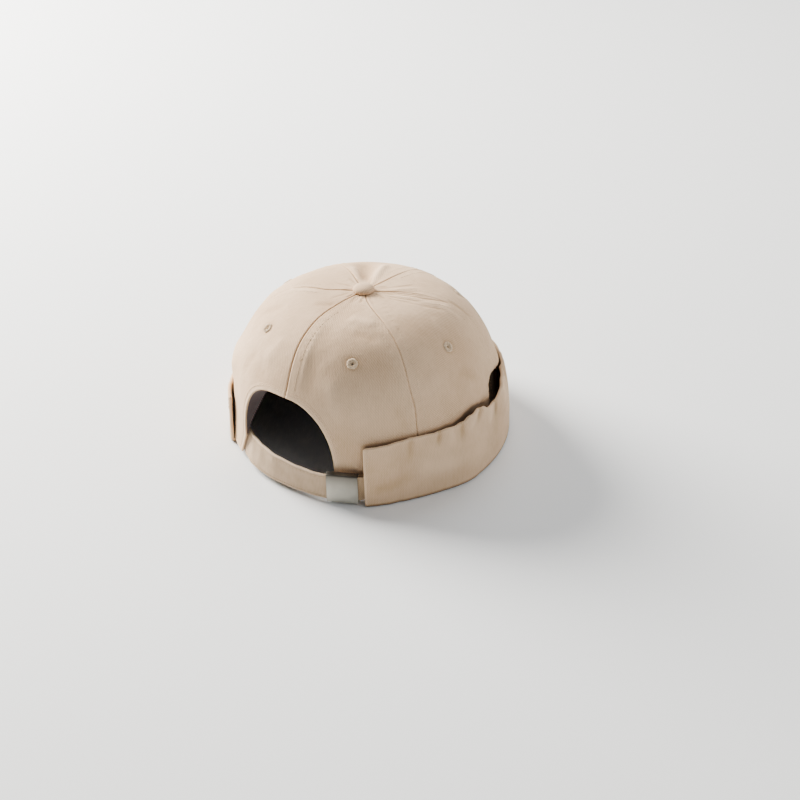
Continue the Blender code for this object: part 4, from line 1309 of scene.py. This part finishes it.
tack_stitches = []
for end, inward in ((CUFF_RIGHT_END, 1), (CUFF_LEFT_END, -1)):
    angle = end + inward * TACK_IN
    line, beside = (
        cuff_loop(at, 1.0)[0][FACE_START : FACE_START + 2 * TACK_ROWS]
        for at in (angle, angle + inward * TACK_STEP)
    )
    facing = unit(np.cross(beside - line, np.gradient(line, axis=0)))
    outward = (line - (AXIS_X, AXIS_Y, 0.0)) * (1, 1, 0)
    facing = facing * np.sign(np.einsum("ij,ij->i", facing, outward))[:, None]
    tack_stitches += stitch_row(line[:TACK_ROWS] + facing[:TACK_ROWS] * 0.05 * MM, facing[:TACK_ROWS])
add_stitches("cuff_corner_tack", tack_stitches)


# The strap: two layers of twill sewn along both edges, fixed inside the crown left of the arch. It
# crosses the arch and runs through the buckle, where it is held.
STRAP_WIDTH = 0.0196
STRAP_CLOTH = 2.0 * MM
STRAP_LIFT = 0.5 * MM
STRAP_MIDDLE = CUFF_CLOTH + STRAP_LIFT + STRAP_WIDTH / 2
STRAP_LEAN = 2.0 * MM
STRAP_LEFT_END = 57.0
STRAP_STEP = 0.5
STRAP_STITCH_IN = 2.0 * MM
STRAP_STITCH_SINK = 0.20 * MM
STRAP_EDGE = 0.7 * MM
STRAP_PAD = 0.10 * MM
STRAP_PAD_SIZE = 6 * MM
STRAP_WEAR_AND_HIGHLIGHT = 0.55 * MM
# Columns of points across the strap's face, and those that its stitches lie on.
STRAP_COLUMNS = 27
STRAP_MIDDLE_COLUMN = 13
STRAP_STITCH_COLUMNS = (2, 24)
PANEL_WALL = 1.5 * MM
CLEARANCE = 0.3 * MM
BUCKLE_ANGLE = 118.9
BUCKLE_WIDTH = 0.0205
BUCKLE_SHEET = 0.9 * MM
BUCKLE_EDGE = 0.8 * MM
BUCKLE_BAR = 3.0 * MM
BUCKLE_PLAY = 0.5 * MM
BUCKLE_RISE = 0.1 * MM
TAB_CLOTH = 1.1 * MM
TAB_END = 133.5

STRAP_SECTIONS = (
    # angle, way out, rise, lean
    (57.0, 0.00, 0.03, -0.3),
    (63.0, 0.03, 0.03, -1.0),
    (68.0, 0.17, 0.05, -1.6),
    (75.0, 0.36, 0.05, -1.6),
    (81.0, 0.43, 0.03, -1.1),
    (91.5, 0.53, 0.00, -0.1),
    (101.5, 0.72, -0.03, 0.6),
    (109.0, 0.93, -0.03, 1.0),
    (112.5, 1.00, -0.01, 1.0),
    (130.0, 1.00, -0.01, 1.0),
)
buckle_back = float(plan_radius(BUCKLE_ANGLE)) + CLEARANCE + TAB_CLOTH


def strap_outside(angle):
    """The radius of the strap's middle in the buckle, where it runs straight."""
    radius = buckle_back + BUCKLE_SHEET + CLEARANCE + STRAP_CLOTH / 2
    half_span = math.asin(BUCKLE_WIDTH / 2 / radius)
    return radius / math.cos(min(abs(math.radians(angle - BUCKLE_ANGLE)), half_span))


def strap_loop(angle):
    """The strap's cloth at this angle: rounded edges, with a sunk line of stitches along each."""
    way_out = table_value(STRAP_SECTIONS, angle, 1)
    middle = STRAP_MIDDLE * (1 + table_value(STRAP_SECTIONS, angle, 2))
    lean = STRAP_LEAN * table_value(STRAP_SECTIONS, angle, 3)
    room = [
        crown_radius(angle, middle + STRAP_WIDTH * share, PANEL_WALL + 2 * CLEARANCE) - lean * share
        for share in (-0.5, 0.0, 0.5)
    ]
    radius = (min(room) - STRAP_CLOTH / 2) * (1 - way_out) + strap_outside(angle) * way_out
    half = STRAP_WIDTH / 2
    flat = np.linspace(-half + STRAP_EDGE, half - STRAP_EDGE, STRAP_COLUMNS)
    sunk = STRAP_STITCH_SINK * bell(half - STRAP_STITCH_IN - np.abs(flat), 0.5 * MM)
    place = np.stack(np.broadcast_arrays(math.radians(angle) * CROWN_HALF_LENGTH, flat, 0.0), -1)
    padded = STRAP_PAD * soft_noise(place, STRAP_PAD_SIZE, 41) + STRAP_PAD / 2
    thick = STRAP_CLOTH / 2
    bend = np.linspace(math.pi / 2, -math.pi / 2, 9)[1:-1]
    top = np.stack((thick * np.sin(bend), half - STRAP_EDGE + STRAP_EDGE * np.cos(bend)), -1)
    front = np.stack((thick - sunk + padded, flat), -1)
    back = np.stack((-thick + sunk, flat), -1)[::-1]
    loop = np.concatenate((front, top, back, -top))
    turn = math.radians(angle)
    reach = radius + loop[:, 0] + lean * loop[:, 1] / STRAP_WIDTH
    points = np.stack(
        (AXIS_X + reach * math.cos(turn), AXIS_Y + reach * math.sin(turn), middle + loop[:, 1]), -1
    )
    # Colour: painted lighter where the layers puff out and along the edges, as painted highlight with rubbed
    # wear at the edges, and painted shade in the stitch lines.
    edge = STRAP_WEAR_AND_HIGHLIGHT * smooth((np.abs(loop[:, 1]) - half + 1.2 * MM) / (0.9 * MM))
    rise = np.concatenate((padded - 2.2 * sunk, np.zeros(len(loop) - STRAP_COLUMNS))) + edge
    return points, rise


strap_end = BUCKLE_ANGLE + math.degrees(
    (BUCKLE_WIDTH / 2 - BUCKLE_BAR - TAB_CLOTH - 4 * CLEARANCE) / strap_outside(BUCKLE_ANGLE)
)
strap_angles = np.linspace(STRAP_LEFT_END, strap_end, round((strap_end - STRAP_LEFT_END) / STRAP_STEP))
strap_loops, rises = (np.array(part) for part in zip(*[strap_loop(angle) for angle in strap_angles]))
points, faces = loft(strap_loops)
cloth, rise = loft_cloth(strap_loops), rises.reshape(-1)
# Greyer and a little darker than the crown.
strap_twill = cotton_twill("strap_cotton_twill", "#D1B79B", "#947B5D")
piece = add_piece("strap_band", points, faces, strap_twill, cloth, rise, 60.0)
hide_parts("strap")

upright = strap_loops[:, STRAP_MIDDLE_COLUMN + 7] - strap_loops[:, STRAP_MIDDLE_COLUMN - 7]
facing = unit(np.cross(np.gradient(strap_loops[:, STRAP_MIDDLE_COLUMN], axis=0), upright))
facing = facing * np.sign(facing[:, 1].mean())
strap_stitches = []
for column in STRAP_STITCH_COLUMNS:
    strap_stitches += stitch_row(strap_loops[:, column] + facing * 0.12 * MM, facing)
add_stitches("strap_topstitching", strap_stitches)


# The strap's tab: a narrow loop of twill from under the cuff, folded round the buckle's bar and
# sewn to itself, which carries the buckle.
TAB_FOLD_SHARE = 0.6
TAB_COLUMNS = 15
TAB_EDGE = 0.5 * MM
TAB_NARROWER = 0.3 * MM
TAB_WEAR_AND_HIGHLIGHT = 0.25 * MM

buckle_turn = math.radians(BUCKLE_ANGLE)
buckle_out = np.array([math.cos(buckle_turn), math.sin(buckle_turn)])
buckle_along = np.array([-math.sin(buckle_turn), math.cos(buckle_turn)])


def local(side, depth):
    """A place from above at this distance along and out from the buckle's back."""
    return buckle_out * (buckle_back + depth) + buckle_along * side


def tab_layer(angle, number):
    """A place from above in the first or second layer of the tab, counted from the crown."""
    turn = math.radians(angle)
    radius = float(plan_radius(angle)) + CLEARANCE + TAB_CLOTH / 2 + number * (TAB_CLOTH + CLEARANCE)
    return np.array([radius * math.cos(turn), radius * math.sin(turn)])


behind = -CLEARANCE - TAB_CLOTH / 2
before = BUCKLE_SHEET + CLEARANCE + TAB_CLOTH / 2
bar_near = BUCKLE_WIDTH / 2 - BUCKLE_BAR - CLEARANCE
bar_far = BUCKLE_WIDTH / 2 + CLEARANCE
free = (BUCKLE_ANGLE + 2 * TAB_END) / 3
tab_path = [tab_layer(angle, 0) for angle in np.linspace(TAB_END, free, 7)]
tab_path.append(local(bar_far - TAB_CLOTH, behind))
for swing in np.linspace(0, math.pi, 13):
    side = bar_near - TAB_FOLD_SHARE * (before - behind) / 2 * math.sin(swing)
    tab_path.append(local(side, (behind + before) / 2 - (before - behind) / 2 * math.cos(swing)))
tab_path.append(local(bar_far + TAB_CLOTH / 2, before))
tab_path += [tab_layer(angle, 1) for angle in np.linspace(free, TAB_END, 7)]
tab_path = np.array(tab_path)
tangent = unit(np.gradient(tab_path, axis=0))
half = STRAP_WIDTH / 2 - TAB_NARROWER
thick = TAB_CLOTH / 2
bend = np.linspace(math.pi / 2, -math.pi / 2, 7)[1:-1]
levels = np.linspace(-half + TAB_EDGE, half - TAB_EDGE, TAB_COLUMNS)
front = np.stack((np.full(TAB_COLUMNS, thick), levels), -1)
top = np.stack((thick * np.sin(bend), half - TAB_EDGE + TAB_EDGE * np.cos(bend)), -1)
loop = np.concatenate((front, top, -front, -top))
lean = STRAP_LEAN * loop[:, 1:] / STRAP_WIDTH
tab_loops = []
for place, (ahead, sideways) in zip(tab_path, tangent):
    flat = place + np.array([-sideways, ahead]) * loop[:, :1] + buckle_out * lean
    tab_loops.append(np.column_stack((flat + (AXIS_X, AXIS_Y), STRAP_MIDDLE + loop[:, 1])))
tab_loops = np.array(tab_loops)
points, faces = loft(tab_loops)
# A painted highlight with rubbed wear along the tab's edges.
wear_and_painted_light = TAB_WEAR_AND_HIGHLIGHT * smooth((np.abs(loop[:, 1]) - half + 1.2 * MM) / MM)
rise = np.tile(wear_and_painted_light, len(tab_loops))
# Painted shade: the tab's twill is painted the darkest of the twills, for the shadow it lies in between the
# buckle and the cuff's end.
tab_twill_painted_shade = cotton_twill("tab_cotton_twill_painted_shade", "#CDB190", "#A68A68")
piece = add_piece("tab_loop", points, faces, tab_twill_painted_shade, loft_cloth(tab_loops), rise, 60.0)
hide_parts("strap_tab")


# The slide buckle: stamped sheet brass, nickel plated and brushed satin. Its top and foot edges
# are bent back round the strap, and two bars close it behind.
BUCKLE_INSIDE = STRAP_WIDTH / 2 + BUCKLE_PLAY
BUCKLE_DEPTH = 2 * BUCKLE_SHEET + STRAP_CLOTH + 2 * CLEARANCE
BUCKLE_BEND = 1.1 * MM
BUCKLE_SHOULDER = 2.4 * MM
BUCKLE_INNER_BEND = 0.4 * MM
BUCKLE_BURR = 0.16 * MM
BAR_CORNER = 0.3 * MM
BRUSH_LINE = 0.35 * MM
BRUSH_DEPTH = 0.04 * MM
CLOUD_SIZE = 6.0 * MM
# Painted reflection: the plate is painted darker the higher it is, for the darker cloth above it that it
# mirrors.
REFLECTION_FROM = STRAP_MIDDLE - 7.0 * MM
REFLECTION_TO = STRAP_MIDDLE + 10.0 * MM
PAINTED_REFLECTION_SHADE = "#4C4842"


def brushed_nickel(name, light, dark):
    """Satin nickel plate: a soft metal gloss, drawn out across fine lines of brushing, with a painted
    reflection that darkens it towards its top.
    """
    material, tree, shader = new_material(name)
    cloth = add_node(tree, "ShaderNodeUVMap", {}, "UV", uv_map="cloth")
    drawn_out = add_node(tree, "ShaderNodeMapping", {"Vector": cloth, "Scale": (0.05, 1.0, 1.0)}, 0)
    lines = cloudy(tree, drawn_out, BRUSH_LINE, 3.0)
    tone = averaged(tree, 0.5, lines, cloudy(tree, cloth, CLOUD_SIZE, 2.0))
    place = add_node(tree, "ShaderNodeTexCoord", {}, "Object")
    height = add_node(tree, "ShaderNodeSeparateXYZ", {0: place}, "Z")
    painted_reflection = mapped(tree, height, REFLECTION_FROM, REFLECTION_TO, 0.0, 0.92)
    colour = blended(tree, painted_reflection, blended(tree, tone, linear(dark), linear(light)), linear(PAINTED_REFLECTION_SHADE))
    bump = {"Strength": 0.25, "Distance": BRUSH_DEPTH, "Height": lines}
    fill(
        shader,
        {
            "Base Color": colour,
            "Roughness": mapped(tree, lines, 0.3, 0.7, 0.38, 0.50),
            "Normal": add_node(tree, "ShaderNodeBump", bump, "Normal"),
            "Metallic": 1.0,
            "Anisotropic": 0.4,
        },
    )
    return material


# A warm grey silver with no sharp reflections, painted pale at its foot and dark at its top edge as a painted
# reflection.
satin_nickel = brushed_nickel("satin_nickel_plate", "#D6D3C7", "#B3AFA4")


def rounded_run(corners, radii, pieces=9):
    """An open outline through these corners, with each inner one eased over a length on both sides."""
    run = [np.array(corners[0])]
    for before_corner, corner, after_corner, eased in zip(corners, corners[1:], corners[2:], radii):
        corner = np.array(corner)
        towards = np.array(before_corner) - corner
        away = np.array(after_corner) - corner
        start = corner + towards / np.linalg.norm(towards) * eased[0]
        end = corner + away / np.linalg.norm(away) * eased[1]
        for share in np.linspace(0, 1, pieces):
            run.append((1 - share) ** 2 * start + 2 * share * (1 - share) * corner + share**2 * end)
    run.append(np.array(corners[-1]))
    return run


def at_buckle(side, depth, level):
    """Places on the buckle: along the strap, out from its back, and up from its middle."""
    tilt = math.atan(STRAP_LEAN / STRAP_WIDTH)
    out = depth * math.cos(tilt) + level * math.sin(tilt)
    up = level * math.cos(tilt) - depth * math.sin(tilt)
    flat = buckle_out * (buckle_back + out)[..., None] + buckle_along * np.asarray(side)[..., None]
    return np.concatenate((flat + (AXIS_X, AXIS_Y), (STRAP_MIDDLE + BUCKLE_RISE + up)[..., None]), -1)


outside = BUCKLE_INSIDE + BUCKLE_EDGE
outer_run = rounded_run(
    [(0.0, -outside), (BUCKLE_DEPTH, -outside), (BUCKLE_DEPTH, outside), (0.0, outside)],
    [(BUCKLE_BEND, BUCKLE_BEND), (BUCKLE_SHOULDER, BUCKLE_BEND)],
)
front_back = BUCKLE_DEPTH - BUCKLE_SHEET
inner_run = rounded_run(
    [(0.0, BUCKLE_INSIDE), (front_back, BUCKLE_INSIDE), (front_back, -BUCKLE_INSIDE), (0.0, -BUCKLE_INSIDE)],
    [(BUCKLE_INNER_BEND, BUCKLE_INNER_BEND)] * 2,
)
section = np.array(outer_run + inner_run)
# The middle of the sheet, which its two open edges are rounded towards.
sheet_middle = (np.array(outer_run) + np.array(inner_run[::-1])) / 2
sheet_middle = np.concatenate((sheet_middle, sheet_middle[::-1]))
half_width = BUCKLE_WIDTH / 2
rounded_off = (
    # distance along the strap, and how full the sheet is there
    (half_width, 0.66),
    (half_width - 0.05 * MM, 0.86),
    (half_width - BUCKLE_BURR, 1.0),
    (half_width / 2, 1.0),
)
all_sides = [(-side, fullness) for side, fullness in rounded_off] + [(0.0, 1.0), *rounded_off[::-1]]
slide_loops = []
for side, fullness in all_sides:
    shape = sheet_middle + (section - sheet_middle) * fullness
    slide_loops.append(at_buckle(np.full(len(shape), side), shape[:, 0], shape[:, 1]))
slide_loops = np.array(slide_loops)


def bar_loops(near, far):
    """A flat bar across the buckle's back between these distances along the strap."""
    corners = [(near, 0.0), (far, 0.0), (far, BUCKLE_SHEET), (near, BUCKLE_SHEET), (near, 0.0), (far, 0.0)]
    side, depth = np.array(rounded_run(corners, [(BAR_CORNER, BAR_CORNER)] * 4, 4)[1:-1]).T
    reach = BUCKLE_INSIDE + BUCKLE_EDGE / 2
    levels = np.linspace(-reach, reach, 5)
    return np.array([at_buckle(side, depth, np.full(len(side), level)) for level in levels])


right_bar = bar_loops(-half_width + BUCKLE_BURR, -half_width + BUCKLE_BAR - BUCKLE_BURR)
left_bar = bar_loops(half_width - BUCKLE_BAR + BUCKLE_BURR, half_width - BUCKLE_BURR)
lofts = [(*loft(loops), loft_cloth(loops)) for loops in (slide_loops, right_bar, left_bar)]
points, faces, cloth = joined(lofts)
piece = add_piece("buckle_slide", points, faces, satin_nickel, cloth, crease=32.0)
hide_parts("buckle")


# The studio: seamless pale paper under the cap, a big soft light high on the wearer's left, and dim
# ones that open up the shadows. The camera stands behind the cap, as in the photograph.
FLOOR_SIZE = 12.0
PAPER_LIGHT = "#F5F7F9"
PAPER_DARK = "#F1F4F6"
PAPER_CLOUD = 1 / 3

half = FLOOR_SIZE / 2
floor_corners = [(-half, -half, 0), (half, -half, 0), (half, half, 0), (-half, half, 0)]
floor_mesh = bpy.data.meshes.new("studio_floor")
floor_mesh.from_pydata(floor_corners, [], [(0, 1, 2, 3)])
floor = bpy.data.objects.new("studio_floor", floor_mesh)
bpy.context.scene.collection.objects.link(floor)
# Matt paper: hardly any gloss, and so faintly clouded that it reads as one pale tone.
paper, tree, shader = new_material("seamless_paper")
grain = add_node(tree, "ShaderNodeTexNoise", {"Scale": 1 / PAPER_CLOUD, "Detail": 2.0}, "Fac")
colour = blended(tree, grain, linear(PAPER_DARK), linear(PAPER_LIGHT))
fill(shader, {"Base Color": colour, "Roughness": 0.75, "Specular IOR Level": 0.3})
floor_mesh.materials.append(paper)

CAMERA_PLACE = Vector((-0.61197, 0.75061, 0.62069))
CAMERA_BACK = Vector((-0.52200, 0.66963, 0.52831))
CAMERA_LENS = 74.84

camera_data = bpy.data.cameras.new("camera")
camera_data.lens = CAMERA_LENS
camera_data.sensor_width = 36.0
camera = bpy.data.objects.new("camera", camera_data)
camera.location = CAMERA_PLACE + Vector((AXIS_X, AXIS_Y, 0.0))
camera.rotation_mode = "QUATERNION"
camera.rotation_quaternion = (-CAMERA_BACK).to_track_quat("-Z", "Y")
bpy.context.scene.collection.objects.link(camera)
bpy.context.scene.camera = camera

SOFTBOXES = (
    # name, azimuth and elevation from the cap in degrees, distance, size, power, colour
    ("key_softbox", 0.0, 27.0, 1.7, 1.0, 146.0, "#FFFAF2"),
    ("fill_high", 180.0, 45.0, 2.0, 2.0, 10.0, "#FFFFFF"),
    ("fill_low", 222.0, 24.0, 2.0, 1.8, 14.0, "#FFFCF7"),
    ("back_softbox", 292.0, 50.0, 1.8, 1.4, 18.0, "#FFFDFA"),
)
for name, azimuth, elevation, distance, size, power, colour in SOFTBOXES:
    light = bpy.data.lights.new(name, "AREA")
    light.shape = "DISK"
    light.size = size
    light.energy = power
    light.color = linear(colour)[:3]
    lamp = bpy.data.objects.new(name, light)
    turn, height = math.radians(azimuth), math.radians(elevation)
    level = math.cos(height)
    direction = Vector((level * math.cos(turn), level * math.sin(turn), math.sin(height)))
    lamp.location = direction * distance
    lamp.rotation_mode = "QUATERNION"
    lamp.rotation_quaternion = direction.to_track_quat("Z", "Y")
    bpy.context.scene.collection.objects.link(lamp)

world = bpy.data.worlds.new("studio_air")
world.use_nodes = True
world.node_tree.nodes["Background"].inputs["Color"].default_value = linear("#EEF1F4")
world.node_tree.nodes["Background"].inputs["Strength"].default_value = 0.20
bpy.context.scene.world = world
